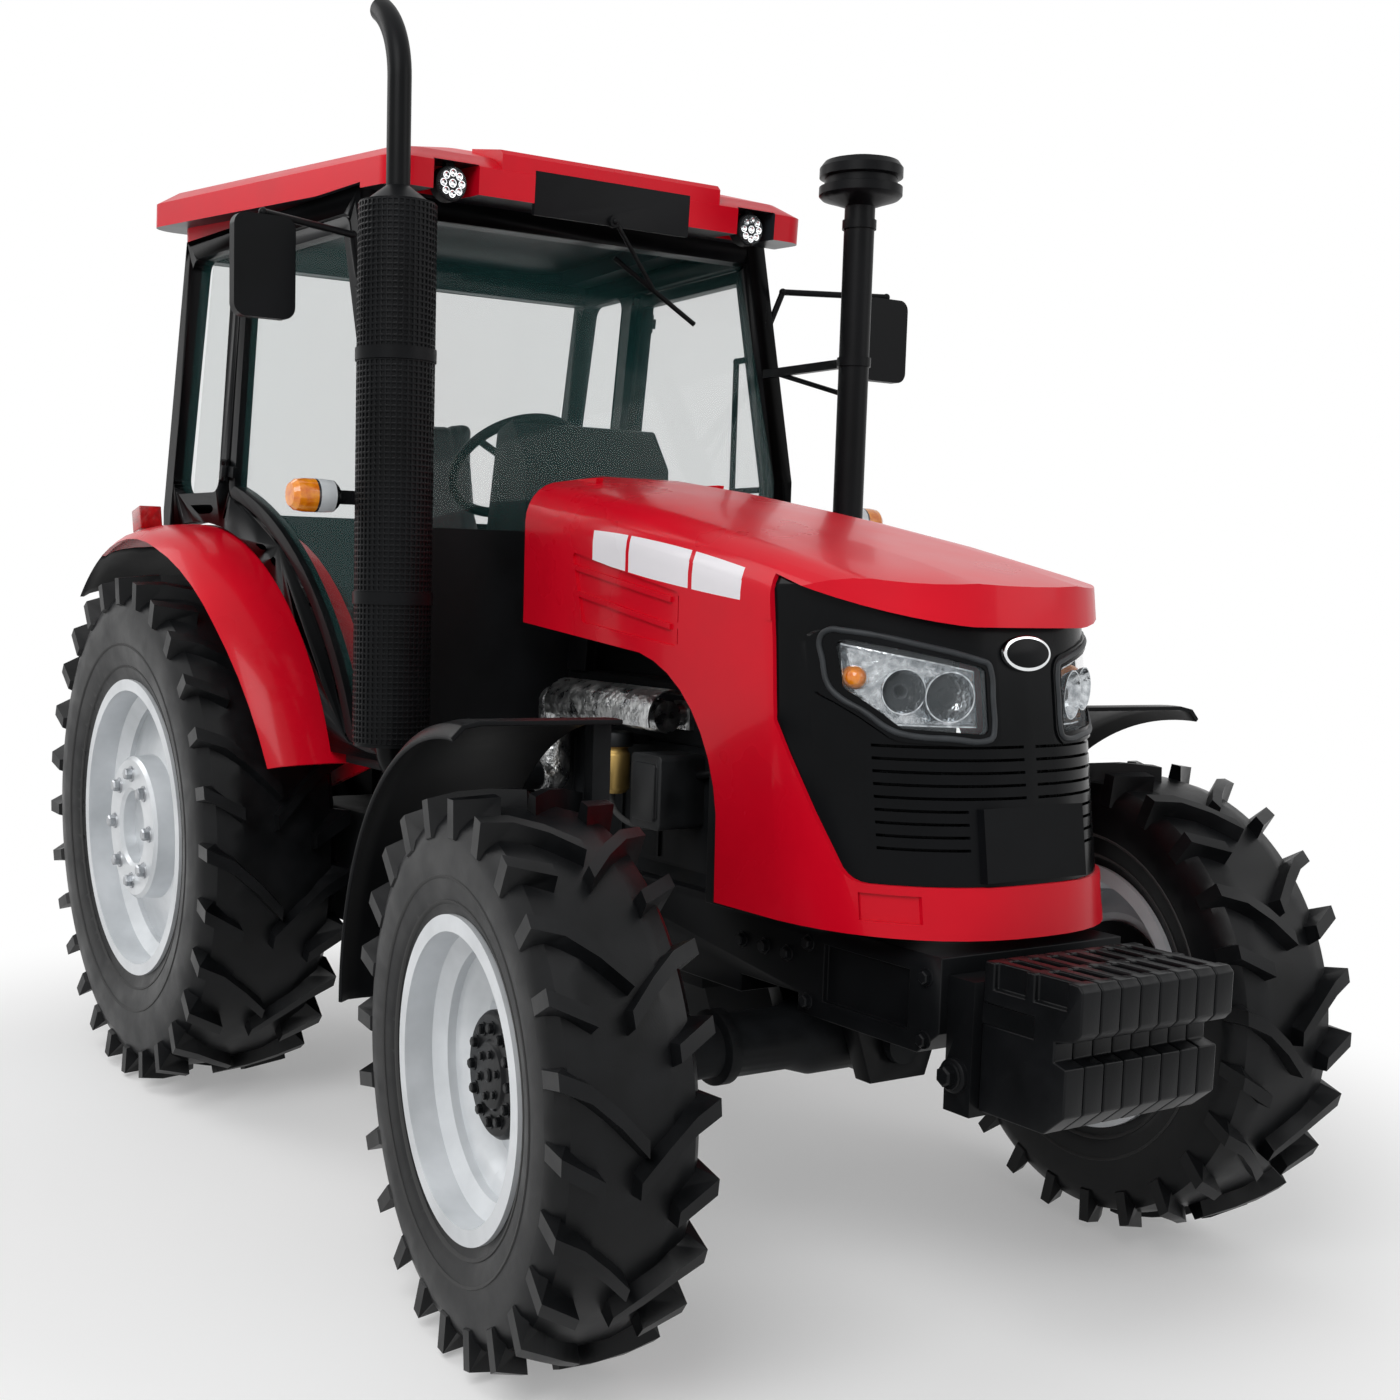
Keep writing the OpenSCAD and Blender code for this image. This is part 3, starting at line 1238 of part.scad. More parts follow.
module front_tyre() tyre(front_tyre_d, front_tyre_w, front_rim_d, front_lugs, front_lug_w);
module rear_tyre() tyre(rear_tyre_d, rear_tyre_w, rear_rim_d, rear_lugs, rear_lug_w);

module tyre_front_left() { color(tyre_black) front_wheel(1) front_tyre(); }
module tyre_front_right() { color(tyre_black) front_wheel(-1) front_tyre(); }
module rim_front_left() { color(rim_silver) front_wheel(1) front_rim(); }
module rim_front_right() { color(rim_silver) front_wheel(-1) front_rim(); }
module hub_front_left() { color(frame_black) front_wheel(1) front_hub(); }
module hub_front_right() { color(frame_black) front_wheel(-1) front_hub(); }
module tyre_rear_left() { color(tyre_black) rear_wheel(1) rear_tyre(); }
module tyre_rear_right() { color(tyre_black) rear_wheel(-1) rear_tyre(); }
module rim_rear_left() { color(rim_silver) rear_wheel(1) rear_rim(); }
module rim_rear_right() { color(rim_silver) rear_wheel(-1) rear_rim(); }

// Three-point hitch

module lift_arms() {
  arm_t = 24;
  color(cast_grey) in_frame() both_sides() difference() {
    along_y(arm_y - arm_t / 2, arm_y + arm_t / 2) hull() {
      translate([arm_x, arm_z]) circle(r = 50);
      translate([arm_x - lift_len, arm_z]) circle(r = 32);
    }
    translate([arm_x - lift_len, 0, arm_z]) rod_y(hitch_pin_r + run_gap, arm_y - arm_t, arm_y + arm_t);
    translate([arm_x, 0, arm_z]) rod_y(cross_shaft_r + run_gap, arm_y - arm_t, arm_y + arm_t);
  }
}

module lift_rods() {
  color(cast_grey) in_frame() both_sides() {
    along_y(rod_y0 - 10, rod_y0 + 10) hull() {
      translate([arm_x - lift_len, arm_z]) circle(r = 24);
      translate([link_x - lift_len, link_z]) circle(r = 24);
    }
    translate([arm_x - lift_len, 0, arm_z]) rod_y(hitch_pin_r, arm_y - 14, rod_y0);
    translate([link_x - lift_len, 0, link_z]) rod_y(hitch_pin_r, arm_y - 14, rod_y0);
  }
}

module lower_links() {
  splay = atan((link_end_hw - link_in_y) / link_len);
  color(cast_grey) in_frame() both_sides() difference() {
    union() {
      translate([link_x, 0, link_z]) rod_y(38, link_in_y - 14, link_in_y + 14);
      translate([link_x - link_len, 0, link_z]) rod_y(link_eye_r, link_end_hw - 22, link_end_hw + 22);
      translate([link_x, link_in_y, link_z]) rotate([0, 0, -splay]) block(-link_len / cos(splay) + 30, -25,
        -11, 11, -32, 32);
    }
    translate([link_x, 0, link_z]) rod_y(link_pin_r + run_gap, link_in_y - 30, link_in_y + 30);
    translate([link_x - link_len, 0, link_z]) rod_y(lower_bore_d / 2, link_end_hw - 40, link_end_hw + 40);
    translate([link_x - lift_len, 0, link_z]) rod_y(hitch_pin_r + run_gap, arm_y - 40, arm_y + 40);
  }
}

module top_link() {
  color(cast_grey) in_frame() translate([top_link_x, 0, top_link_z]) difference() {
    union() {
      rod_y(32, -20, 20);
      translate([-top_link_len, 0, 0]) rod_y(32, -22, 22);
      rod_x(20, 25 - top_link_len, -25);
      rod_x(27, 130 - top_link_len, -130);
    }
    rod_y(top_pin_r + run_gap, -30, 30);
    translate([-top_link_len, 0, 0]) rod_y(top_bore_d / 2, -30, 30);
  }
}

module drawbar() {
  bracket = [link_x - 60, link_x + 60];
  color(cast_grey) in_frame() {
    both_sides() along_y(24, 40) polygon([[top_link_x - 20, top_link_z - 45], [rear_case_x0,
      top_link_z - 45],
      [rear_case_x0, top_link_z + 45], [top_link_x - 20, top_link_z + 45], [top_link_x - 38,
        top_link_z + 26],
      [top_link_x - 38, top_link_z - 26]]);
    translate([top_link_x, 0, top_link_z]) rod_y(top_pin_r, -40, 40);
    both_sides() {
      block(bracket[0], bracket[1], 60, rear_case_hw, pull_z, trans_z0 - 20);
      translate([link_x, 0, link_z]) rod_y(link_pin_r, rear_case_hw, link_in_y + 24);
    }
    difference() {
      along_y(-40, 40) polygon([[pull_x - 40, pull_z], [bracket[1], pull_z], [bracket[1], pull_z + pull_t],
        [pull_x - 40, pull_z + pull_t]]);
      translate([pull_x, 0, pull_z - past]) cylinder(h = pull_t + 2 * past, d = drawbar_bore_d);
    }
    block(bracket[0], bracket[1], -60, 60, pull_z, pull_z + pull_t);
  }
}

module pto_shaft() {
  color(rim_silver) in_frame() translate([0, 0, ra_z - 100]) rod_x(pto_r, rear_case_x0 - 80, rear_case_x0);
}

engine();
engine_fittings();
exhaust_manifold();
radiator();
hood_support();
front_frame();
front_axle();
transmission();
rear_axle();
fuel_tank();
battery_box();
steps();
cab_floor();
cab_frame();
roof();
cab_glass();
dashboard();
steering_wheel();
seat();
rear_fenders();
mud_flaps();
exhaust_stack();
intake_stack();
mirrors();
weight_carrier();
front_weights();
work_lamps();
turn_lamps();
rear_lamps();
wiper();
drawbar();
pto_shaft();
top_link();
hood();
grille();
headlamps();
door_left();
door_left_glass();
door_right();
door_right_glass();
knuckle_left();
knuckle_right();
front_fender_left();
front_fender_right();
steering_rod();
tyre_front_left();
rim_front_left();
hub_front_left();
tyre_front_right();
rim_front_right();
hub_front_right();
tyre_rear_left();
rim_rear_left();
tyre_rear_right();
rim_rear_right();
lift_arms();
lift_rods();
lower_links();
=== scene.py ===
"""Finishes, lamps, fasteners, cushions and studio of a cab farm tractor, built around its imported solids."""

import json
import math

import bmesh
import bpy
from mathutils import Matrix, Vector


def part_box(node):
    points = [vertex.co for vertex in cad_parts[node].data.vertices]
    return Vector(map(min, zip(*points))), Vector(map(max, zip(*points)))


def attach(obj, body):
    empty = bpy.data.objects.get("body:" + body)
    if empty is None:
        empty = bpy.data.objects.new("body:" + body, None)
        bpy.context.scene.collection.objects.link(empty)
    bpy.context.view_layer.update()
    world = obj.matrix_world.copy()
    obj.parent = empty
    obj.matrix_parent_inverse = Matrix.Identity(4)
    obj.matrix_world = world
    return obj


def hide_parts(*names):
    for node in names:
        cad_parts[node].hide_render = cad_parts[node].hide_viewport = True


bl_info = {
    "name": "Farm tractor finish",
    "version": (1, 0, 0),
    "blender": (4, 5, 0),
    "location": "3D View > Sidebar > Tractor",
    "description": "Paints a cab farm tractor and adds its lamps, fasteners, trim, cushions and studio",
    "category": "Object",
}

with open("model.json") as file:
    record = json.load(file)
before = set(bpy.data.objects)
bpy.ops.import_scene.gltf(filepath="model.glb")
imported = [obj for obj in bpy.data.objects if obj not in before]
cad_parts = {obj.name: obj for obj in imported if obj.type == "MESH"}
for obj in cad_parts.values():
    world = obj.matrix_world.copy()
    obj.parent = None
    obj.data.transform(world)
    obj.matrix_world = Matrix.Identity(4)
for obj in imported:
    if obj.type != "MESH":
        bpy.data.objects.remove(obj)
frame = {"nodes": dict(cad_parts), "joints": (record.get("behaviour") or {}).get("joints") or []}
NODES = frame["nodes"]
JOINTS = {joint["name"]: joint for joint in frame["joints"]}
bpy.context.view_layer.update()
REAR_AXLE_X = JOINTS["wheel_rear_left_spin"]["pos_m"][0]
SIDES = {"left": 1, "right": -1}
WHEELS = ("front_left", "front_right", "rear_left", "rear_right")
MM = 0.001
FORWARD = Vector((1, 0, 0))
LEFT = Vector((0, 1, 0))
UP = Vector((0, 0, 1))
WHITE = (1, 1, 1, 1)

# Places, in millimetres ahead of the rear axle, left of the middle and above the ground

STRIPE_REACH = (1712, 2327)
STRIPE_BLOCKS = ((1716, 1872), (1886, 2132), (2147, 2325))
# Bow, fall and start of the stripe's edges over its reach, and its least distance from the middle, in metres
STRIPE_TOP = (-0.044, -0.040, 1.684)
STRIPE_FOOT = (0.020, -0.100, 1.613)
STRIPE_OUT = 0.29
ROOF_INSIDE = (460, 0, 2250)
FILTER_BOWL = (1686, -270, 0)
FILTER_BOWL_RADIUS = 75
FILTER_BOWL_RISE = (1050, 1165)
# Bands of a turn lamp, each by its distance from the tractor's middle: clear half, dark seam, dark foot
TURN_LAMP_BANDS = ((700, 872, "#cfd3d6"), (868, 874, "#303234"), (600, 826, "#17181a"))
# Line of a headlamp's frame seen from the front, as distance from the middle and height
HEADLAMP_FRAME = ((92, 1292), (97, 1278), (114, 1271), (180, 1275), (250, 1280), (276, 1289), (308, 1322),
                  (336, 1352), (344, 1374), (347, 1420), (348, 1464), (342, 1479), (326, 1480), (220, 1455),
                  (114, 1428), (98, 1422), (92, 1408), (91, 1350))
BADGE_Z = 1442
# Bolts on each side: what carries them, place ahead and height, width across flats, height of the head
FRAME_BOLTS = (
    *(("front_frame", x, z, 24, 14) for x in (2430, 2790) for z in (690, 815)),
    *(("front_frame", x, 780, 24, 14) for x in (2200, 2280, 2360)),
    *(("engine", 1330 + 84 * i, 836, 15, 10) for i in range(9)),
    ("weight_carrier", 2860, 636, 36, 20),
    *(("transmission", x, z, 19, 12) for x in (-190, 150) for z in (600, 720, 840)),
)
FUEL_LINE = ((1686, -270, 1056), (1688, -272, 1022), (1726, -266, 990), (1786, -236, 976), (1815, -184, 986))
CONDUIT = ((1440, -184, 1130), (1470, -199, 1122), (1570, -202, 1104), (1700, -202, 1112), (1850, -202, 1100),
           (1960, -199, 1120), (1990, -184, 1128))
FUEL_FILLER = (850, -400, 1040)
FLOOR_Z = 1085
MAT_X = 715
LEVERS = {"main": ((560, -330), (545, -300, 1500)), "range": ((640, -340), (650, -320, 1440)),
          "hitch": ((480, -420), (455, -420, 1420))}
GUARD_FOOT = (1370, -720, 1158)
GUARD_HEIGHT = 1284
GUARD_RADIUS = 94.5
MIRROR_GLASS = (1150.2, 983.5, 2296)
WORK_LAMP = (1010, 475, 2547)
WORK_LAMP_TILT = math.radians(3.6)
SEAT_X = 335
# Distance from the middle and radius of each dial
DIALS = ((0, 58), (118, 40), (-118, 40))
# Seats of the wheel bolts, out of the wheel's middle
HUB_FLANGE, HUB_CAP, WHEEL_DISC = 56, 63, 176
# Radius and width of the tyres and radius of the rims
TYRES = {"front": (575, 315, 307), "rear": (775, 430, 435)}

# Studio lamps: place, target, size in metres, share of the key light's power

LAMPS = {
    "key_lamp": ((4.2, -5.2, 6.2), (0.2, 0, 1.1), 4.5, 1.0),
    "side_lamp": ((5.5, 3.6, 4.2), (0.6, 0, 1.0), 3.5, 0.2),
    "back_lamp": ((-4.5, -3.5, 5.5), (-0.4, 0, 1.4), 3.5, 0.35),
}
# Camera of the photograph: place, angles, and focal length and centre in pixels of a square image
CAMERA_PLACE = (5301.6, -2629.3, 1571.9)
CAMERA_TURN, CAMERA_DIP, CAMERA_ROLL = math.radians(148.07), math.radians(6.156), math.radians(1.41)
IMAGE_SIZE = 1400
CAMERA_FOCUS = 1774.25
CAMERA_CENTRE = (576.7, 768.6)
SENSOR = 36

# Finishes: two colours, as hex or as a user's colour by name; size of the mottle in mm; least and most roughness;
# size and depth of the grain in mm; what is set on the shader

SPECULAR = "Specular IOR Level"
FINISHES = {
    # Stoved red enamel: deep gloss with a faint orange peel
    "red_enamel": ("red_deep", "red", 420, (0.24, 0.34), 5, 0.05,
                   {"Coat Weight": 0.12, "Coat Roughness": 0.08, SPECULAR: 0.12}),
    # Moulded red roof shell: satin enamel
    "roof_enamel": ("red_deep", "red", 420, (0.3, 0.42), 6, 0.08,
                    {"Coat Weight": 0.06, "Coat Roughness": 0.2, SPECULAR: 0.1}),
    # Satin black powder coat: near black, a soft sheen and a fine grain
    "black_powder_coat": ("black", "#131416", 260, (0.3, 0.42), 2.5, 0.05, {SPECULAR: 0.08}),
    # Painted iron casting: dark grey over sand-cast grain, dustier in broad patches
    "painted_cast_iron": ("#0b0c0d", "#17191b", 120, (0.42, 0.62), 4, 0.35, {SPECULAR: 0.1}),
    # Glossy black paint over cast weights, which keeps the highlights of their edges
    "black_painted_weights": ("black", "#141517", 160, (0.26, 0.4), 5, 0.3, {SPECULAR: 0.12}),
    # Injection moulded black polypropylene: a fine spark grain and a dull sheen
    "moulded_black_plastic": ("#0b0c0d", "#141517", 180, (0.42, 0.56), 1.6, 0.06, {SPECULAR: 0.1}),
    # Gloss black ABS of the nose mask: mirror-like, with slight waves from the mould
    "gloss_black_abs": ("#08090a", "#101113", 300, (0.16, 0.26), 90, 0.25, {SPECULAR: 0.07}),
    # Grained grey ABS of the lamp frames: a soft satin, paler than the mask about it
    "satin_grey_abs": ("#26282a", "#36393c", 60, (0.4, 0.52), 1.6, 0.06, {SPECULAR: 0.2}),
    # Black plastic and rubber of the engine's fittings: dull, with dust in its patches
    "engine_bay_plastic": ("#0d0e0f", "#1c1e20", 90, (0.4, 0.6), 3, 0.1, {SPECULAR: 0.35}),
    # Embossed aluminium heat shield: bright, crumpled in patches of a few centimetres
    "embossed_aluminium": ("#8e9092", "#d2d3d2", 35, (0.22, 0.42), 22, 6, {"Metallic": 1.0}),
    # Vulcanised tyre rubber: charcoal, dull on the lugs, with a dry bloom in broad patches
    "vulcanised_rubber": ("rubber", "#111214", 110, (0.3, 0.46), 3, 0.25, {SPECULAR: 0.18}),
    # Silver wheel paint: aluminium flake in lacquer, evenly pale with soft highlights
    "silver_wheel_paint": ("#bcc0c3", "silver", 200, (0.3, 0.4), 1.2, 0.04,
                           {"Metallic": 0.3, "Coat Weight": 0.3, "Coat Roughness": 0.2}),
    # Bright chromium plate on plastic: a clean mirror with the faintest waves
    "chromium_plate": ("#d9dbdd", "#eceeef", 60, (0.05, 0.1), 40, 0.08, {"Metallic": 1.0}),
    # Vapour-plated lamp reflector: silver mirror, fluted into small facets
    "plated_reflector": ("#8b9094", "#dde1e4", 16, (0.08, 0.16), 9, 2.0, {"Metallic": 1.0}),
    # Ground and zinc-plated steel: bright grey with fine marks of the wheel
    "zinc_plated_steel": ("#8b8e92", "#b6b9bc", 30, (0.26, 0.42), 1.5, 0.05, {"Metallic": 1.0}),
    # Silvered mirror glass: a clean, cool mirror
    "silvered_glass": ("#cfd5d8", "#e2e6e8", 200, (0.02, 0.05), 90, 0.04, {"Metallic": 1.0}),
    # Clear polycarbonate lamp cover: nearly unseen but for its gloss
    "clear_polycarbonate": ("#8f979c", "#a9b0b4", 80, (0.03, 0.06), 60, 0.05, {"Alpha": 0.1, "IOR": 1.58}),
    # Amber acrylic lens: saturated orange, ribbed a little, glossy
    "amber_acrylic": ("amber", "#f59a1e", 24, (0.1, 0.18), 6, 0.5, {"Coat Weight": 0.5}),
    # Turn lamp of two acrylics: amber outside and clear inside
    "amber_and_clear_acrylic": ("amber", "#f59a1e", 24, (0.1, 0.2), 6, 0.5, {"Coat Weight": 0.5}),
    # Red acrylic tail lamp lens: glossy with fine prisms
    "red_acrylic": ("#8e0d12", "#c4161c", 20, (0.1, 0.2), 5, 0.5, {"Coat Weight": 0.4}),
    # Toughened green-tinted glass: mostly clear, with a cool tint and sharp reflections
    "tinted_safety_glass": ("glass", "#3a6a68", 900, (0.02, 0.04), 400, 0.1, {"Alpha": 0.12, "IOR": 1.5}),
    # Grained black seat vinyl: leather-like pebbles with a low sheen
    "seat_vinyl": ("#1b1c1f", "#2c2e32", 90, (0.48, 0.62), 3.5, 0.5, {}),
    # White print of the dials: flat and even
    "printed_dial_marks": ("#d8d9d6", "#f0f0ec", 30, (0.4, 0.5), 2, 0.02, {}),
}

# Angle up to which triangles count as one flat, wider on the bowed hood

FLAT_ANGLE, HOOD_FLAT_ANGLE = math.radians(0.4), math.radians(1.2)

# Plain rubber, without mottle or grain: the frame's own material of this name

PLAIN_RUBBER = "tyre_rubber"

# Finish of every solid, with the width in mm of its eased edges

COATS = {
    "red_enamel": {"hood": 0, "rear_fenders": 0},
    "roof_enamel": {"roof": 0},
    "gloss_black_abs": {"grille": 0},
    "black_powder_coat": {"front_frame": 3, "steps": 2, "cab_frame": 3, "door_left": 2, "door_right": 2,
                          "mirrors": 0, "weight_carrier": 3, "hood_support": 2, "exhaust_stack": 0,
                          "intake_stack": 0, "front_fender_left": 2, "front_fender_right": 2},
    "painted_cast_iron": {"engine": 4, "transmission": 4, "front_axle": 4, "rear_axle": 4, "knuckle_left": 3,
                          "knuckle_right": 3, "drawbar": 2, "lift_arms": 2, "lift_rods": 2, "lower_links": 2,
                          "top_link": 1},
    "black_painted_weights": {"front_weights": 4, "hub_front_left": 2, "hub_front_right": 2},
    "moulded_black_plastic": {"radiator": 2, "fuel_tank": 6, "battery_box": 5, "cab_floor": 2, "dashboard": 3,
                              "steering_wheel": 0, "mud_flaps": 2, "work_lamps": 0, "wiper": 1},
    "engine_bay_plastic": {"engine_fittings": 2},
    "embossed_aluminium": {"exhaust_manifold": 3},
    "vulcanised_rubber": {f"tyre_{wheel}": 0 for wheel in WHEELS},
    "silver_wheel_paint": {f"rim_{wheel}": 0 for wheel in WHEELS},
    "zinc_plated_steel": {"pto_shaft": 0, "steering_rod": 0},
    "amber_and_clear_acrylic": {"turn_lamps": 0},
    "red_acrylic": {"rear_lamps": 3},
    "tinted_safety_glass": {"cab_glass": 0, "door_left_glass": 0, "door_right_glass": 0},
    "clear_polycarbonate": {"headlamps": 0},
    "seat_vinyl": {"seat": 0},
}


# Places and colours


def at(x, y, z):
    """Point in the frame, from millimetres ahead of the rear axle, left of the middle and above the ground."""
    return Vector((REAR_AXLE_X + x * MM, y * MM, z * MM))


def linear(hex_colour):
    """Linear red, green, blue and alpha of an sRGB hex colour."""
    parts = [int(hex_colour[i:i + 2], 16) / 255 for i in (1, 3, 5)]
    return [c / 12.92 if c <= 0.04045 else ((c + 0.055) / 1.055) ** 2.4 for c in parts] + [1.0]


def facing(place, direction):
    """Matrix that puts a shape drawn along Z at a place, with its Z along a direction and its Y upwards."""
    z_axis = direction.normalized()
    x_axis = UP.cross(z_axis).normalized()
    matrix = Matrix((x_axis, z_axis.cross(x_axis), z_axis)).transposed().to_4x4()
    matrix.translation = place
    return matrix


def struck(name, start, direction):
    """Point where a line from a start first meets a node."""
    hit, place, _, _ = NODES[name].ray_cast(start, direction)
    if not hit:
        raise RuntimeError(f"{name} has no surface ahead of {tuple(start)}")
    return place


def skin_x(name, y, z):
    """Foremost point of a node at a place across and up, in metres."""
    return struck(name, Vector((4, y, z)), -FORWARD).x


def wheel_place(wheel):
    """Middle of a wheel and the direction out of it."""
    joint = JOINTS[f"wheel_{wheel}_spin"]
    return Vector(joint["pos_m"]), Vector(joint["axis"]).normalized() * SIDES[wheel.split("_")[1]]


# Materials


def add_node(tree, kind, links=None, out=0, **settings):
    """Adds a shader node and returns an output; links maps each input to a socket or to a value."""
    node = tree.nodes.new("ShaderNode" + kind)
    for key, value in settings.items():
        setattr(node, key, value)
    for key, value in (links or {}).items():
        if isinstance(value, bpy.types.NodeSocket):
            tree.links.new(value, node.inputs[key])
        else:
            node.inputs[key].default_value = value
    return node.outputs[out]


class Surface:
    """A material in the making: colour mottled at one size, with a fine grain in its bump."""

    def __init__(self, name):
        low, high, mottle_mm, rough, grain_mm, depth_mm, sockets = FINISHES[name]
        users = bpy.context.scene.tractor_finish
        low, high = (linear(tone) if tone.startswith("#") else getattr(users, tone) for tone in (low, high))
        self.material = bpy.data.materials.new(name)
        self.material.use_nodes = True
        self.tree = tree = self.material.node_tree
        self.shader = tree.nodes["Principled BSDF"]
        self.coords = add_node(tree, "TexCoord", out="Object")
        self.x, self.y, self.z = add_node(tree, "SeparateXYZ", {0: self.coords}).node.outputs
        mottle = add_node(tree, "TexNoise", {"Vector": self.coords, "Scale": 1 / (mottle_mm * MM), "Detail": 4.0,
                                             "Roughness": 0.55}, "Fac")
        spread = add_node(tree, "MapRange", {0: mottle, 1: 0.3, 2: 0.7})
        self.colour = add_node(tree, "Mix", {0: spread, 6: low, 7: high}, 2, data_type="RGBA")
        self.rough = add_node(tree, "MapRange", {0: mottle, 1: 0.3, 2: 0.7, 3: rough[0], 4: rough[1]})
        grain = add_node(tree, "TexNoise", {"Vector": self.coords, "Scale": 1 / (grain_mm * MM),
                                            "Detail": 3.0}, "Fac")
        self.bump = add_node(tree, "Bump", {"Height": grain, "Strength": 0.6, "Distance": depth_mm * MM})
        for key, value in sockets.items():
            self.shader.inputs[key].default_value = value

    def overlay(self, zone, colour):
        """Lays another colour over the surface where a zone is one."""
        self.colour = add_node(self.tree, "Mix", {0: zone, 6: self.colour, 7: colour}, 2, data_type="RGBA")

    def done(self):
        """Links what was gathered to the shader and returns the material."""
        for socket, key in ((self.colour, "Base Color"), (self.rough, "Roughness"), (self.bump, "Normal")):
            self.tree.links.new(socket, self.shader.inputs[key])
        return self.material


def material(name):
    """Material of a name, made from its finish when it is first asked for."""
    return bpy.data.materials.get(name) or Surface(name).done()


def striped_enamel():
    """Red enamel with the white stripe blocks on the hood sides."""
    paint = Surface("red_enamel")
    tree = paint.tree
    start, end = (at(x, 0, 0).x for x in STRIPE_REACH)
    along = add_node(tree, "MapRange", {0: paint.x, 1: start, 2: end})
    stripe = 0.0
    for start, end in STRIPE_BLOCKS:
        block = add_node(tree, "Math", {0: paint.x, 1: at((start + end) / 2, 0, 0).x, 2: (end - start) / 2 * MM},
                         operation="COMPARE")
        stripe = add_node(tree, "Math", {0: stripe, 1: block}, operation="ADD")
    out = add_node(tree, "Math", {0: paint.y}, operation="ABSOLUTE")
    bounds = [(out, STRIPE_OUT, "GREATER_THAN")]
    for (bow, fall, height), side in ((STRIPE_TOP, "LESS_THAN"), (STRIPE_FOOT, "GREATER_THAN")):
        slope = add_node(tree, "Math", {0: along, 1: bow, 2: fall}, operation="MULTIPLY_ADD")
        edge = add_node(tree, "Math", {0: slope, 1: along, 2: height}, operation="MULTIPLY_ADD")
        bounds.append((paint.z, edge, side))
    for value, bound, side in bounds:
        within = add_node(tree, "Math", {0: value, 1: bound}, operation=side)
        stripe = add_node(tree, "Math", {0: stripe, 1: within}, operation="MULTIPLY")
    paint.overlay(stripe, bpy.context.scene.tractor_finish.stripe)
    paint.done()


def lined_roof():
    """Roof enamel with a dark lining wherever the shell faces the cab."""
    paint = Surface("roof_enamel")
    normal = add_node(paint.tree, "NewGeometry", out="Normal")
    offset = add_node(paint.tree, "VectorMath", {0: paint.coords, 1: at(*ROOF_INSIDE)}, operation="SUBTRACT")
    outward = add_node(paint.tree, "VectorMath", {0: normal, 1: offset}, "Value", operation="DOT_PRODUCT")
    lining = add_node(paint.tree, "Math", {0: outward, 1: 0.0}, operation="LESS_THAN")
    paint.overlay(lining, linear("#23272b"))
    paint.done()


def fittings_with_bowl():
    """Engine bay plastic with the brass coloured bowl of the fuel filter."""
    paint = Surface("engine_bay_plastic")
    tree = paint.tree
    low, high = FILTER_BOWL_RISE
    flat = add_node(tree, "VectorMath", {0: paint.coords, 1: (1, 1, 0)}, operation="MULTIPLY")
    reach = add_node(tree, "VectorMath", {0: flat, 1: at(*FILTER_BOWL)}, "Value", operation="DISTANCE")
    near = add_node(tree, "Math", {0: reach, 1: FILTER_BOWL_RADIUS * MM}, operation="LESS_THAN")
    level = add_node(tree, "Math", {0: paint.z, 1: (low + high) / 2 * MM, 2: (high - low) / 2 * MM},
                     operation="COMPARE")
    bowl = add_node(tree, "Math", {0: near, 1: level}, operation="MULTIPLY")
    paint.overlay(bowl, linear("#b79a5e"))
    tree.links.new(bowl, paint.shader.inputs["Metallic"])
    paint.done()


def crumpled_foil():
    """Heat shield foil, embossed to its full depth."""
    foil = Surface("embossed_aluminium")
    foil.bump.node.inputs["Strength"].default_value = 1.0
    foil.done()


def banded_turn_lamp():
    """Turn lamp lens: amber outer half and clear inner half, parted by a dark seam, on a dark foot."""
    lens = Surface("amber_and_clear_acrylic")
    out = add_node(lens.tree, "Math", {0: lens.y}, operation="ABSOLUTE")
    for low, high, tone in TURN_LAMP_BANDS:
        band = add_node(lens.tree, "Math", {0: out, 1: (low + high) / 2 * MM, 2: (high - low) / 2 * MM},
                        operation="COMPARE")
        lens.overlay(band, linear(tone))
    lens.done()


def dressed(name, finish, edge_mm):
    """Gives a CAD node its material, smooth shading up to a crease, and eased edges where asked."""
    node = NODES[name]
    node.data.materials.clear()
    node.data.materials.append(finish)
    node.data.shade_smooth()
    weld = node.modifiers.new("joined triangles", "WELD")
    weld.merge_threshold = 0.02 * MM
    flats = node.modifiers.new("whole flats", "DECIMATE")
    flats.decimate_type = "DISSOLVE"
    flats.angle_limit = HOOD_FLAT_ANGLE if name == "hood" else FLAT_ANGLE
    if edge_mm:
        ease = node.modifiers.new("eased edges", "BEVEL")
        ease.width = edge_mm * MM
        ease.segments = 2
        ease.limit_method = "ANGLE"
        ease.angle_limit = math.radians(35)
        ease.harden_normals = True
    else:
        crease = node.modifiers.new("creases", "EDGE_SPLIT")
        crease.split_angle = math.radians(28)
        even = node.modifiers.new("even shading", "WEIGHTED_NORMAL")
        even.mode = "FACE_AREA"
        even.weight = 80


# Shapes


def piece(name, bm, finish, body, crease=35):
    """Turns a bmesh into a piece with a finish that rides on a body."""
    mesh = bpy.data.meshes.new(name)
    bm.to_mesh(mesh)
    bm.free()
    mesh.materials.append(material(finish))
    mesh.shade_smooth()
    mesh.set_sharp_from_angle(angle=math.radians(crease))
    obj = bpy.data.objects.new(name, mesh)
    bpy.context.scene.collection.objects.link(obj)
    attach(obj, body)
    return obj


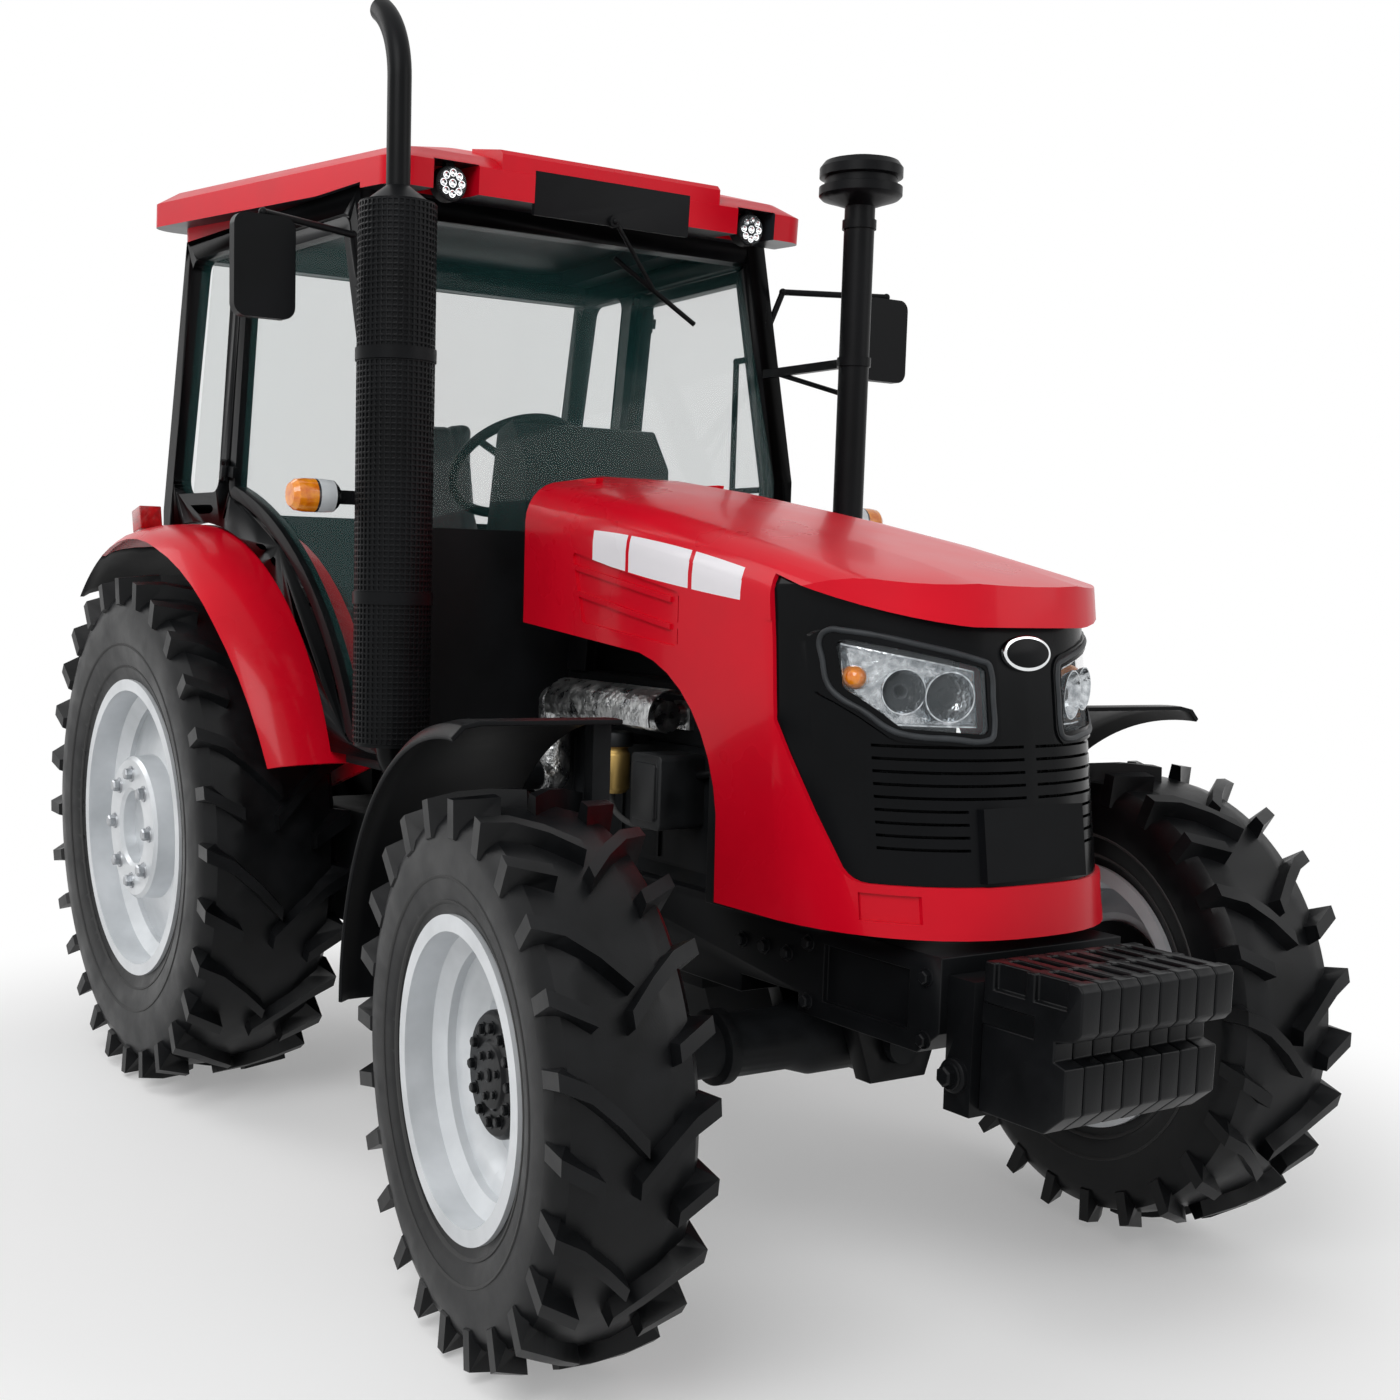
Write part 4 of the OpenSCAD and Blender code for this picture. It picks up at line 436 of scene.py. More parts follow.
def turned(bm, profile, matrix, steps=32):
    """Turns a profile of radius and height, in millimetres, about Z and places it."""
    known = set(bm.verts)
    verts = [bm.verts.new((r * MM, 0, z * MM)) for r, z in profile]
    edges = [bm.edges.new(pair) for pair in zip(verts, verts[1:])]
    bmesh.ops.spin(bm, geom=verts + edges, cent=(0, 0, 0), axis=(0, 0, 1), angle=2 * math.pi, steps=steps,
                   use_merge=True)
    bmesh.ops.remove_doubles(bm, verts=[v for v in bm.verts if v not in known], dist=0.01 * MM)
    new = [v for v in bm.verts if v not in known]
    bmesh.ops.recalc_face_normals(bm, faces=list({f for v in new for f in v.link_faces}))
    bmesh.ops.transform(bm, matrix=matrix, verts=new)


def bolt(bm, matrix, across, height):
    """Hexagon head with a chamfered top, on its washer."""
    # Sides, lower and upper radius as shares of the width, depth and middle as shares of the height
    for sides, foot, top, depth, middle in ((16, 0.78, 0.74, 0.2, 0.1), (6, 0.577, 0.577, 0.62, 0.5),
                                            (6, 0.577, 0.45, 0.2, 0.9)):
        bmesh.ops.create_cone(bm, cap_ends=True, segments=sides, radius1=across * foot * MM,
                              radius2=across * top * MM, depth=depth * height * MM,
                              matrix=matrix @ Matrix.Translation((0, 0, middle * height * MM)))


def bolt_ring(bm, matrix, radius, count, across, height, start=0.0):
    """Bolts spaced evenly on a circle about Z."""
    for i in range(count):
        turn = Matrix.Rotation(start + 2 * math.pi * i / count, 4, "Z")
        bolt(bm, matrix @ turn @ Matrix.Translation((radius * MM, 0, 0)), across, height)


def slab(bm, outline, depth, matrix, ease=0.0):
    """Plate of an outline in millimetres, grown along Z and eased round its upper edge."""
    known = set(bm.verts)
    face = bm.faces.new([bm.verts.new((x * MM, y * MM, 0)) for x, y in outline])
    grown = bmesh.ops.extrude_face_region(bm, geom=[face])["geom"]
    lifted = {g for g in grown if isinstance(g, bmesh.types.BMVert)}
    bmesh.ops.translate(bm, verts=list(lifted), vec=(0, 0, depth * MM))
    bmesh.ops.recalc_face_normals(bm, faces=[f for f in bm.faces if f.verts[0] not in known])
    if ease:
        rim = [e for e in bm.edges if lifted.issuperset(e.verts)]
        bmesh.ops.bevel(bm, geom=rim, offset=ease * MM, offset_type="OFFSET", segments=2, profile=0.5,
                        affect="EDGES", material=-1)
    bmesh.ops.transform(bm, matrix=matrix, verts=[v for v in bm.verts if v not in known])


def oval(width, height, count=48):
    """Points of an ellipse, in millimetres."""
    angles = [2 * math.pi * i / count for i in range(count)]
    return [(width / 2 * math.cos(a), height / 2 * math.sin(a)) for a in angles]


def rounded_box(width, height, radius, count=8):
    """Points of a rectangle with round corners, about its middle, in millimetres."""
    points = []
    for k, (sx, sy) in enumerate(((1, 1), (-1, 1), (-1, -1), (1, -1))):
        for i in range(count + 1):
            a = math.pi / 2 * (k + i / count)
            points.append((sx * (width / 2 - radius) + radius * math.cos(a),
                           sy * (height / 2 - radius) + radius * math.sin(a)))
    return points


def hose(name, points, radius, finish, body, closed=False):
    """Hose or bead through points in millimetres, held at both ends by what it joins, or closed in a loop."""
    curve = bpy.data.curves.new(name, "CURVE")
    curve.dimensions = "3D"
    curve.bevel_depth = radius * MM
    curve.bevel_resolution = 4
    curve.resolution_u = 10
    curve.use_fill_caps = True
    spline = curve.splines.new("BEZIER")
    spline.use_cyclic_u = closed
    spline.bezier_points.add(len(points) - 1)
    for knot, point in zip(spline.bezier_points, points):
        knot.co = at(*point)
        knot.handle_left_type = knot.handle_right_type = "AUTO"
    made = bpy.data.objects.new(name + "_path", curve)
    bpy.context.scene.collection.objects.link(made)
    mesh = shown_mesh(made)
    bpy.data.objects.remove(made)
    bm = bmesh.new()
    bm.from_mesh(mesh)
    bpy.data.meshes.remove(mesh)
    piece(name, bm, finish, body)


def shown_mesh(obj):
    """New mesh of what an object shows with its modifiers."""
    bpy.context.view_layer.update()
    return bpy.data.meshes.new_from_object(obj.evaluated_get(bpy.context.evaluated_depsgraph_get()))


def applied(obj):
    """Makes what an object's modifiers show into its own mesh."""
    mesh = shown_mesh(obj)
    obj.modifiers.clear()
    obj.data = mesh
    mesh.shade_smooth()


def stuffed(obj, voxel_mm, cap_mm):
    """Remeshes a pad and lets its filling swell it, no further than a cap."""
    remesh = obj.modifiers.new("even mesh", "REMESH")
    remesh.mode = "VOXEL"
    remesh.voxel_size = voxel_mm * MM
    applied(obj)
    start = [vert.co.copy() for vert in obj.data.vertices]
    cloth = obj.modifiers.new("filling", "CLOTH")
    cloth.settings.use_pressure = True
    cloth.settings.uniform_pressure_force = 4.0
    cloth.settings.effector_weights.gravity = 0.0
    for step in range(1, 21):
        bpy.context.scene.frame_set(step)
    applied(obj)
    bpy.context.scene.frame_set(1)
    for vert, first in zip(obj.data.vertices, start):
        move = vert.co - first
        if move.length > cap_mm * MM:
            vert.co = first + move.normalized() * cap_mm * MM


# Sizes and colours that a user would change


def colour_setting(name, description, tone):
    """Colour of a finish, from its hex value."""
    return bpy.props.FloatVectorProperty(name=name, description=description, subtype="COLOR", size=4, min=0, max=1,
                                         default=linear(tone))


def length_setting(name, description, low, high, default):
    """Length of a piece, in metres."""
    return bpy.props.FloatProperty(name=name, description=description, unit="LENGTH", min=low, max=high,
                                   default=default)


class TractorFinish(bpy.types.PropertyGroup):
    """Colours of the tractor."""

    red: colour_setting("Red", "Enamel of hood, roof and fenders", "#d40822")
    red_deep: colour_setting("Deep red", "Darker patches of the enamel", "#c4061e")
    stripe: colour_setting("Stripe", "Blocks on the hood sides", "#e9e6ea")
    black: colour_setting("Black", "Powder coat of frame and cab", "#0b0c0d")
    rubber: colour_setting("Rubber", "Tyres", "#060708")
    silver: colour_setting("Silver", "Wheel rims", "#dadde0")
    amber: colour_setting("Amber", "Turn lamps", "#d2660a")
    glass: colour_setting("Glass", "Tint of the cab glass", "#2f5a58")


class TractorTrim(bpy.types.PropertyGroup):
    """Sizes of the pieces added to the solids."""

    hole_pitch: length_setting("Hole pitch", "Between holes of the exhaust guard", 0.008, 0.03, 0.0136)
    hub_bolt: length_setting("Hub bolt", "Across the flats, front hubs", 0.012, 0.03, 0.019)
    wheel_nut: length_setting("Wheel nut", "Across the flats, rear wheels", 0.02, 0.05, 0.032)
    bowl: length_setting("Lamp bowl", "Radius of a headlamp bowl", 0.025, 0.06, 0.043)
    badge: length_setting("Badge", "Width of the bare oval on the nose", 0.08, 0.2, 0.13)


class TractorStudio(bpy.types.PropertyGroup):
    """Light of the studio."""

    sky: bpy.props.FloatProperty(name="Sky", description="Strength of the even light", min=0, max=2, default=0.42)
    key: bpy.props.FloatProperty(name="Key light", description="Power of the large soft lamp", unit="POWER", min=0,
                                 max=3000, default=330)


# Operators


class TRACTOR_OT_paint(bpy.types.Operator):
    """Paint the solids: enamel, powder coat, castings, plastics, rubber and steel"""

    bl_idname = "tractor.paint"
    bl_label = "Paint solids"

    def execute(self, context):
        for patterned in (striped_enamel, lined_roof, fittings_with_bowl, crumpled_foil, banded_turn_lamp):
            patterned()
        for finish, nodes in COATS.items():
            for name, edge_mm in nodes.items():
                dressed(name, material(finish), edge_mm)
        bare = [name for name, node in NODES.items() if not node.modifiers]
        if bare:
            raise RuntimeError(f"no finish for {bare}")
        return {"FINISHED"}


class TRACTOR_OT_wheel_bolts(bpy.types.Operator):
    """Bolt the front hubs and the rear wheels"""

    bl_idname = "tractor.wheel_bolts"
    bl_label = "Wheel bolts"

    def execute(self, context):
        trim = context.scene.tractor_trim
        across = trim.hub_bolt / MM
        for wheel in WHEELS:
            middle, out = wheel_place(wheel)
            bm = bmesh.new()
            if wheel.startswith("front"):
                flange = facing(middle + out * HUB_FLANGE * MM, out)
                cap = facing(middle + out * HUB_CAP * MM, out)
                bolt_ring(bm, flange, 96, 12, across, 13)
                bolt_ring(bm, cap, 46, 6, 0.7 * across, 8, 0.3)
                turned(bm, [(0, 6), (10, 6), (14, 3), (14, 0)], cap)
                piece(f"hub_bolts_{wheel}", bm, "black_painted_weights", f"wheel_{wheel}")
            else:
                disc = facing(middle + out * WHEEL_DISC * MM, out)
                bolt_ring(bm, disc, 165, 8, trim.wheel_nut / MM, 24)
                piece(f"wheel_nuts_{wheel}", bm, "zinc_plated_steel", f"wheel_{wheel}")
        return {"FINISHED"}


class TRACTOR_OT_headlamps(bpy.types.Operator):
    """Fill the headlamps with reflectors, bowls and amber bulbs, and bead the frames round them"""

    bl_idname = "tractor.headlamps"
    bl_label = "Headlamps"

    def execute(self, context):
        bowl_r = context.scene.tractor_trim.bowl / MM
        for side_name, side in SIDES.items():
            back, bulb, bowls, caps = (bmesh.new() for _ in range(4))
            self.reflector(back, side)
            piece(f"headlamp_back_{side_name}", back, "plated_reflector", "hood")
            sunk = 1.5
            line = [((skin_x("grille", side * y * MM, z * MM) - REAR_AXLE_X) / MM - sunk, side * y, z)
                    for y, z in HEADLAMP_FRAME]
            hose(f"headlamp_frame_{side_name}", line, 6.5, "satin_grey_abs", "hood", True)
            turned(bulb, [(0, 44), (9, 42), (17, 36), (22, 26), (24, 12), (24, 0)], self.seat(side, 0.85, 62), 32)
            piece(f"headlamp_amber_{side_name}", bulb, "amber_acrylic", "hood")
            for share, size in ((0.2, 1.12), (0.58, 1.0)):
                seat = self.seat(side, share, 52)
                r = bowl_r * size
                turned(bowls, [(0, 4), (0.3 * r, 5), (0.62 * r, 14), (0.86 * r, 27), (r, 40), (1.06 * r, 40),
                               (1.06 * r, 36), (0.9 * r, 22)], seat, 40)
                turned(caps, [(0, 30), (0.24 * r, 27), (0.36 * r, 20), (0.36 * r, 6)], seat, 24)
            piece(f"headlamp_bowls_{side_name}", bowls, "plated_reflector", "hood")
            piece(f"headlamp_caps_{side_name}", caps, "gloss_black_abs", "hood")
        return {"FINISHED"}

    @staticmethod
    def spot(share, height):
        """Distance from the middle and height of a place in the lamp, from shares of its outline."""
        y = 0.112 + share * (0.325 - 0.112)
        low = 1.291 + max(0, share - 0.7) * 0.22
        high = 1.410 + share * 0.048
        return y, low + height * (high - low)

    def seat(self, side, share, depth):
        """Matrix of an optic at mid height, at a depth in millimetres behind the lamp's skin."""
        y, z = self.spot(share, 0.5)
        place = Vector((skin_x("headlamps", side * y, z) - depth * MM, side * y, z))
        return facing(place, FORWARD + LEFT * side * 0.45)

    def reflector(self, bm, side):
        """Sheet that follows the lamp's skin at a depth behind it, with a wall forwards round its edge."""
        depth, wall = 62 * MM, 46 * MM
        bmesh.ops.create_grid(bm, x_segments=22, y_segments=12, size=0.5)
        for vert in bm.verts:
            y, z = self.spot(0.02 + (vert.co.x + 0.5) * 0.96, 0.06 + 0.88 * (vert.co.y + 0.5))
            vert.co = Vector((skin_x("headlamps", side * y, z) - depth, side * y, z))
        rim = bmesh.ops.extrude_edge_only(bm, edges=[e for e in bm.edges if e.is_boundary])["geom"]
        raised = [g for g in rim if isinstance(g, bmesh.types.BMVert)]
        bmesh.ops.translate(bm, verts=raised, vec=FORWARD * wall)
        bmesh.ops.recalc_face_normals(bm, faces=bm.faces[:])
        if bm.faces[0].normal.x < 0:
            bmesh.ops.reverse_faces(bm, faces=bm.faces[:])
        bmesh.ops.solidify(bm, geom=bm.faces[:], thickness=3 * MM)


class TRACTOR_OT_nose_trim(bpy.types.Operator):
    """Set the bare oval badge on the nose mask"""

    bl_idname = "tractor.nose_trim"
    bl_label = "Nose trim"

    def execute(self, context):
        width = context.scene.tractor_trim.badge / MM
        height = 0.56 * width
        rim_height, rim_width, sunk = 9, 7, 0.3 * MM
        z = BADGE_Z * MM
        place, below = (Vector((skin_x("grille", 0, level), 0, level)) for level in (z, z - 0.02))
        look = LEFT.cross(place - below).normalized()
        seat = facing(place - look * sunk, look)
        ring, field = bmesh.new(), bmesh.new()
        slab(ring, oval(width, height), rim_height, seat, 3)
        piece("badge_rim", ring, "chromium_plate", "hood")
        slab(field, oval(width - 2 * rim_width, height - 2 * rim_width), 1.2,
             seat @ Matrix.Translation((0, 0, (rim_height - 0.2) * MM)), 0.5)
        piece("badge_field", field, "gloss_black_abs", "hood")
        return {"FINISHED"}


class TRACTOR_OT_grille_screen(bpy.types.Operator):
    """Hang the dark embossed screen behind the slots of the mask"""

    bl_idname = "tractor.grille_screen"
    bl_label = "Grille screen"

    def execute(self, context):
        width, height, middle_z = 0.64, 0.27, 1.135
        # Height at which the mask has no slot, and how far it leans forwards below that
        solid_z, lean = 1.275, math.tan(math.radians(8.3))
        depth = 36 * MM
        bm = bmesh.new()
        bmesh.ops.create_grid(bm, x_segments=60, y_segments=26, size=0.5)
        bmesh.ops.inset_individual(bm, faces=bm.faces[:], thickness=0.003, depth=-1.5 * MM)
        for vert in bm.verts:
            y = vert.co.x * width
            z = middle_z + vert.co.y * height
            x = skin_x("grille", y, solid_z) + (solid_z - z) * lean - depth + vert.co.z
            vert.co = Vector((x, y, z))
        bmesh.ops.recalc_face_normals(bm, faces=bm.faces[:])
        bmesh.ops.solidify(bm, geom=bm.faces[:], thickness=2 * MM)
        piece("grille_screen", bm, "moulded_black_plastic", "hood")
        return {"FINISHED"}


class TRACTOR_OT_frame_bolts(bpy.types.Operator):
    """Bolt the front frame, the sump rail, the weight carrier and the transmission"""

    bl_idname = "tractor.frame_bolts"
    bl_label = "Frame bolts"

    def execute(self, context):
        for side_name, side in SIDES.items():
            bm = bmesh.new()
            for node, x, z, across, height in FRAME_BOLTS:
                place = struck(node, at(x, side * 1500, z), -LEFT * side)
                bolt(bm, facing(place, LEFT * side), across, height)
            piece(f"frame_bolts_{side_name}", bm, "black_painted_weights", "chassis")
        return {"FINISHED"}


class TRACTOR_OT_lines(bpy.types.Operator):
    """Lay the fuel line and the wiring conduit along the engine, and cap the fuel tank"""

    bl_idname = "tractor.lines"
    bl_label = "Lines and filler"

    def execute(self, context):
        hose("fuel_line", FUEL_LINE, 7, PLAIN_RUBBER, "chassis")
        hose("wiring_conduit", CONDUIT, 10, "moulded_black_plastic", "chassis")
        cap = bmesh.new()
        turned(cap, [(30, -4), (30, 22), (44, 22), (46, 26), (46, 46), (42, 50), (14, 51), (12, 47), (0, 47)],
               Matrix.Translation(struck("fuel_tank", at(*FUEL_FILLER), -UP)), 40)
        piece("fuel_filler", cap, "moulded_black_plastic", "chassis")
        return {"FINISHED"}


class TRACTOR_OT_cab_fittings(bpy.types.Operator):
    """Fit the floor mat and the levers with their knobs"""

    bl_idname = "tractor.cab_fittings"
    bl_label = "Cab fittings"

    def execute(self, context):
        mat, knobs = bmesh.new(), bmesh.new()
        slab(mat, rounded_box(390, 900, 40), 5, Matrix.Translation(at(MAT_X, 0, FLOOR_Z)), 2)
        for i in range(-10, 11):
            slab(mat, rounded_box(330, 14, 6), 3, Matrix.Translation(at(MAT_X, 40 * i, FLOOR_Z + 4.8)), 1)
        piece("floor_mat", mat, PLAIN_RUBBER, "chassis")
        for name, (foot, tip) in LEVERS.items():
            hose(f"{name}_lever", [(*foot, FLOOR_Z - 2), (*foot, FLOOR_Z + 120), tip], 7, "black_powder_coat",
                 "chassis")
            turned(knobs, [(0, 46), (14, 43), (22, 32), (24, 20), (18, 6), (11, -8), (0, -8)],
                   Matrix.Translation(at(*tip)), 28)
            turned(knobs, [(34, 0), (30, 14), (16, 34), (11, 52), (7, 54)],
                   Matrix.Translation(at(*foot, FLOOR_Z)), 28)
        piece("lever_knobs", knobs, "moulded_black_plastic", "chassis")
        return {"FINISHED"}


class TRACTOR_OT_exhaust_guard(bpy.types.Operator):
    """Wrap the muffler in its perforated guard"""

    bl_idname = "tractor.exhaust_guard"
    bl_label = "Exhaust guard"

    def execute(self, context):
        pitch = context.scene.tractor_trim.hole_pitch
        radius, height = GUARD_RADIUS * MM, GUARD_HEIGHT * MM
        columns = round(2 * math.pi * radius / pitch)
        rows = round(height / pitch)
        bm = bmesh.new()
        bmesh.ops.create_grid(bm, x_segments=columns, y_segments=rows, size=0.5)
        bmesh.ops.scale(bm, vec=(columns * pitch, rows * pitch, 1), verts=bm.verts[:])
        cells = bm.faces[:]
        bmesh.ops.inset_individual(bm, faces=cells, thickness=0.25 * pitch)
        bmesh.ops.delete(bm, geom=cells, context="FACES_ONLY")
        foot = at(*GUARD_FOOT)
        for vert in bm.verts:
            angle = 2 * math.pi * (vert.co.x / (columns * pitch) + 0.5)
            rise = height * (vert.co.y / (rows * pitch) + 0.5)
            vert.co = foot + Vector((radius * math.cos(angle), radius * math.sin(angle), rise))
        bmesh.ops.remove_doubles(bm, verts=bm.verts[:], dist=0.05 * MM)
        bmesh.ops.recalc_face_normals(bm, faces=bm.faces[:])
        guard = piece("exhaust_guard", bm, "black_powder_coat", "chassis", 60)
        wall = guard.modifiers.new("sheet", "SOLIDIFY")
        wall.thickness = 1.5 * MM
        wall.offset = -1
        return {"FINISHED"}


class TRACTOR_OT_mirror_glass(bpy.types.Operator):
    """Set the glass in the mirrors"""

    bl_idname = "tractor.mirror_glass"
    bl_label = "Mirror glass"

    def execute(self, context):
        x, y, z = MIRROR_GLASS
        for side_name, side in SIDES.items():
            bm = bmesh.new()
            slab(bm, rounded_box(120, 205, 24), 1.6, facing(at(x, side * y, z), -FORWARD), 0.6)
            piece(f"mirror_glass_{side_name}", bm, "silvered_glass", "chassis")
        return {"FINISHED"}


class TRACTOR_OT_work_lamps(bpy.types.Operator):
    """Put reflectors and lenses in the roof's work lamps"""

    bl_idname = "tractor.work_lamps"
    bl_label = "Work lamps"

    def execute(self, context):
        x, y, z = WORK_LAMP
        look = Vector((math.cos(WORK_LAMP_TILT), 0, -math.sin(WORK_LAMP_TILT)))
        to_face = look * 165.2 * MM + look.cross(LEFT) * 22 * MM
        for side_name, side in SIDES.items():
            seat = facing(at(x, side * y, z) + to_face, look)
            cups, cover = bmesh.new(), bmesh.new()
            for i in range(8):
                spot = seat @ Matrix.Rotation(math.pi / 4 * i, 4, "Z") @ Matrix.Translation((26 * MM, 0, 0))
                turned(cups, [(0, 1.0), (3, 1.0), (8, 5), (9.5, 5), (9.5, 0.2)], spot, 16)
            turned(cups, [(0, 1.0), (4, 1.0), (9, 5), (10.5, 5), (10.5, 0.2)], seat, 16)
            piece(f"work_lamp_cups_{side_name}", cups, "chromium_plate", "chassis")
            turned(cover, [(0, 8), (30, 7.4), (38, 6.4), (40, 4), (40, 0.2)], seat, 40)
            piece(f"work_lamp_lens_{side_name}", cover, "clear_polycarbonate", "chassis")
        return {"FINISHED"}


class TRACTOR_OT_seat(bpy.types.Operator):
    """Upholster the driver's seat: swollen cushion and backrest with sewn channels on a bellows base"""

    bl_idname = "tractor.seat"
    bl_label = "Seat"

    def execute(self, context):
        lean = Matrix.Rotation(-math.atan2(110, 500), 4, "Y")
        cushion = self.pad("seat_cushion", (425, 455, 78), 34, Matrix.Translation(at(SEAT_X, 0, 1530)))
        back = self.pad("seat_back", (62, 400, 470), 28, Matrix.Translation(at(95, 0, 1838)) @ lean)
        for pad in (cushion, back):
            stuffed(pad, 6, 20)
            self.sew(pad)
        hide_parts("seat")
        self.base()
        return {"FINISHED"}

    @staticmethod
    def pad(name, size, radius, matrix):
        """Block of a size in millimetres with every edge rounded."""
        bm = bmesh.new()
        bmesh.ops.create_cube(bm, size=1)
        bmesh.ops.scale(bm, vec=[length * MM for length in size], verts=bm.verts[:])
        bmesh.ops.bevel(bm, geom=bm.edges[:], offset=radius * MM, offset_type="OFFSET", segments=4, profile=0.5,
                        affect="EDGES", material=-1)
        bmesh.ops.transform(bm, matrix=matrix, verts=bm.verts[:])
        return piece(name, bm, "seat_vinyl", "chassis", 180)

    @staticmethod
    def sew(pad):
        """Sinks two sewn channels that run from end to end."""
        width, depth = 9 * MM, 7 * MM
        for vert in pad.data.vertices:
            for seam in (-0.105, 0.105):
                near = (vert.co.y - seam) / width
                if abs(near) < 3:
                    vert.co -= vert.normal * depth * math.exp(-near * near)

    @staticmethod
    def base():
        """Bellows from the floor of the seat's solid up to the pan under the cushion."""
        low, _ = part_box("seat")
        foot = at(280, 0, 0)
        foot.z = low.z
        folds = 6
        height = 1474 - low.z / MM
        profile = [(0, 0)]
        for i in range(folds):
            profile += [(r, height * (i + share) / folds) for r, share in ((118, 0.15), (118, 0.5), (102, 0.8))]
        profile += [(112, height), (0, height)]
        bellows, pan = bmesh.new(), bmesh.new()
        turned(bellows, profile, Matrix.Translation(foot), 40)
        piece("seat_bellows", bellows, "moulded_black_plastic", "chassis")
        slab(pan, rounded_box(430, 440, 40), 16, Matrix.Translation(at(SEAT_X, 0, 1472)), 4)
        piece("seat_pan", pan, "moulded_black_plastic", "chassis")


class TRACTOR_OT_dials(bpy.types.Operator):
    """Set the round instruments in the dashboard"""

    bl_idname = "tractor.dials"
    bl_label = "Dials"

    def execute(self, context):
        look = Vector((-310, 0, 60))
        rims, faces, marks = bmesh.new(), bmesh.new(), bmesh.new()
        for y, r in DIALS:
            seat = facing(struck("dashboard", at(600, y, 1850), FORWARD), look)
            turned(rims, [(r - 4, 0.3), (r - 4, 5), (r - 1, 8), (r + 3, 5), (r + 4, -4)], seat, 48)
            turned(faces, [(0, 2), (r - 3, 2), (r - 3, -4)], seat, 48)
            printed = Matrix.Translation((0, 0, 1.9 * MM))
            for i in range(11):
                slab(marks, [(-1.2, 0.72 * r), (1.2, 0.72 * r), (1.2, 0.9 * r), (-1.2, 0.9 * r)], 0.6,
                     seat @ Matrix.Rotation(math.radians(-125 + 25 * i), 4, "Z") @ printed)
            slab(marks, [(-2, -0.12 * r), (2, -0.12 * r), (0.6, 0.7 * r), (-0.6, 0.7 * r)], 1.0,
                 seat @ Matrix.Rotation(1.9, 4, "Z") @ printed)
        piece("dial_rims", rims, "chromium_plate", "chassis")
        piece("dial_faces", faces, "gloss_black_abs", "chassis")
        piece("dial_marks", marks, "printed_dial_marks", "chassis")
        return {"FINISHED"}


class TRACTOR_OT_tyre_ribs(bpy.types.Operator):
    """Raise the bead ribs on both walls of the tyres"""

    bl_idname = "tractor.tyre_ribs"
    bl_label = "Tyre ribs"

    def execute(self, context):
        for wheel in WHEELS:
            middle, out = wheel_place(wheel)
            reach, width, rim_r = TYRES[wheel.split("_")[0]]
            bm = bmesh.new()
            wall = reach - 40 - rim_r
            for face in (out, -out):
                # Place of a rib as a share of the wall's height, and of the tyre's width from its middle
                for share, side in ((0.2, 0.436), (0.42, 0.472)):
                    r = rim_r + share * wall
                    z = side * width
                    turned(bm, [(r - 5, z - 4), (r - 2.5, z + 1.2), (r + 2.5, z + 2.2), (r + 5, z - 2)],
                           facing(middle, face), 72)
            piece(f"bead_ribs_{wheel}", bm, PLAIN_RUBBER, f"wheel_{wheel}", 60)
        return {"FINISHED"}


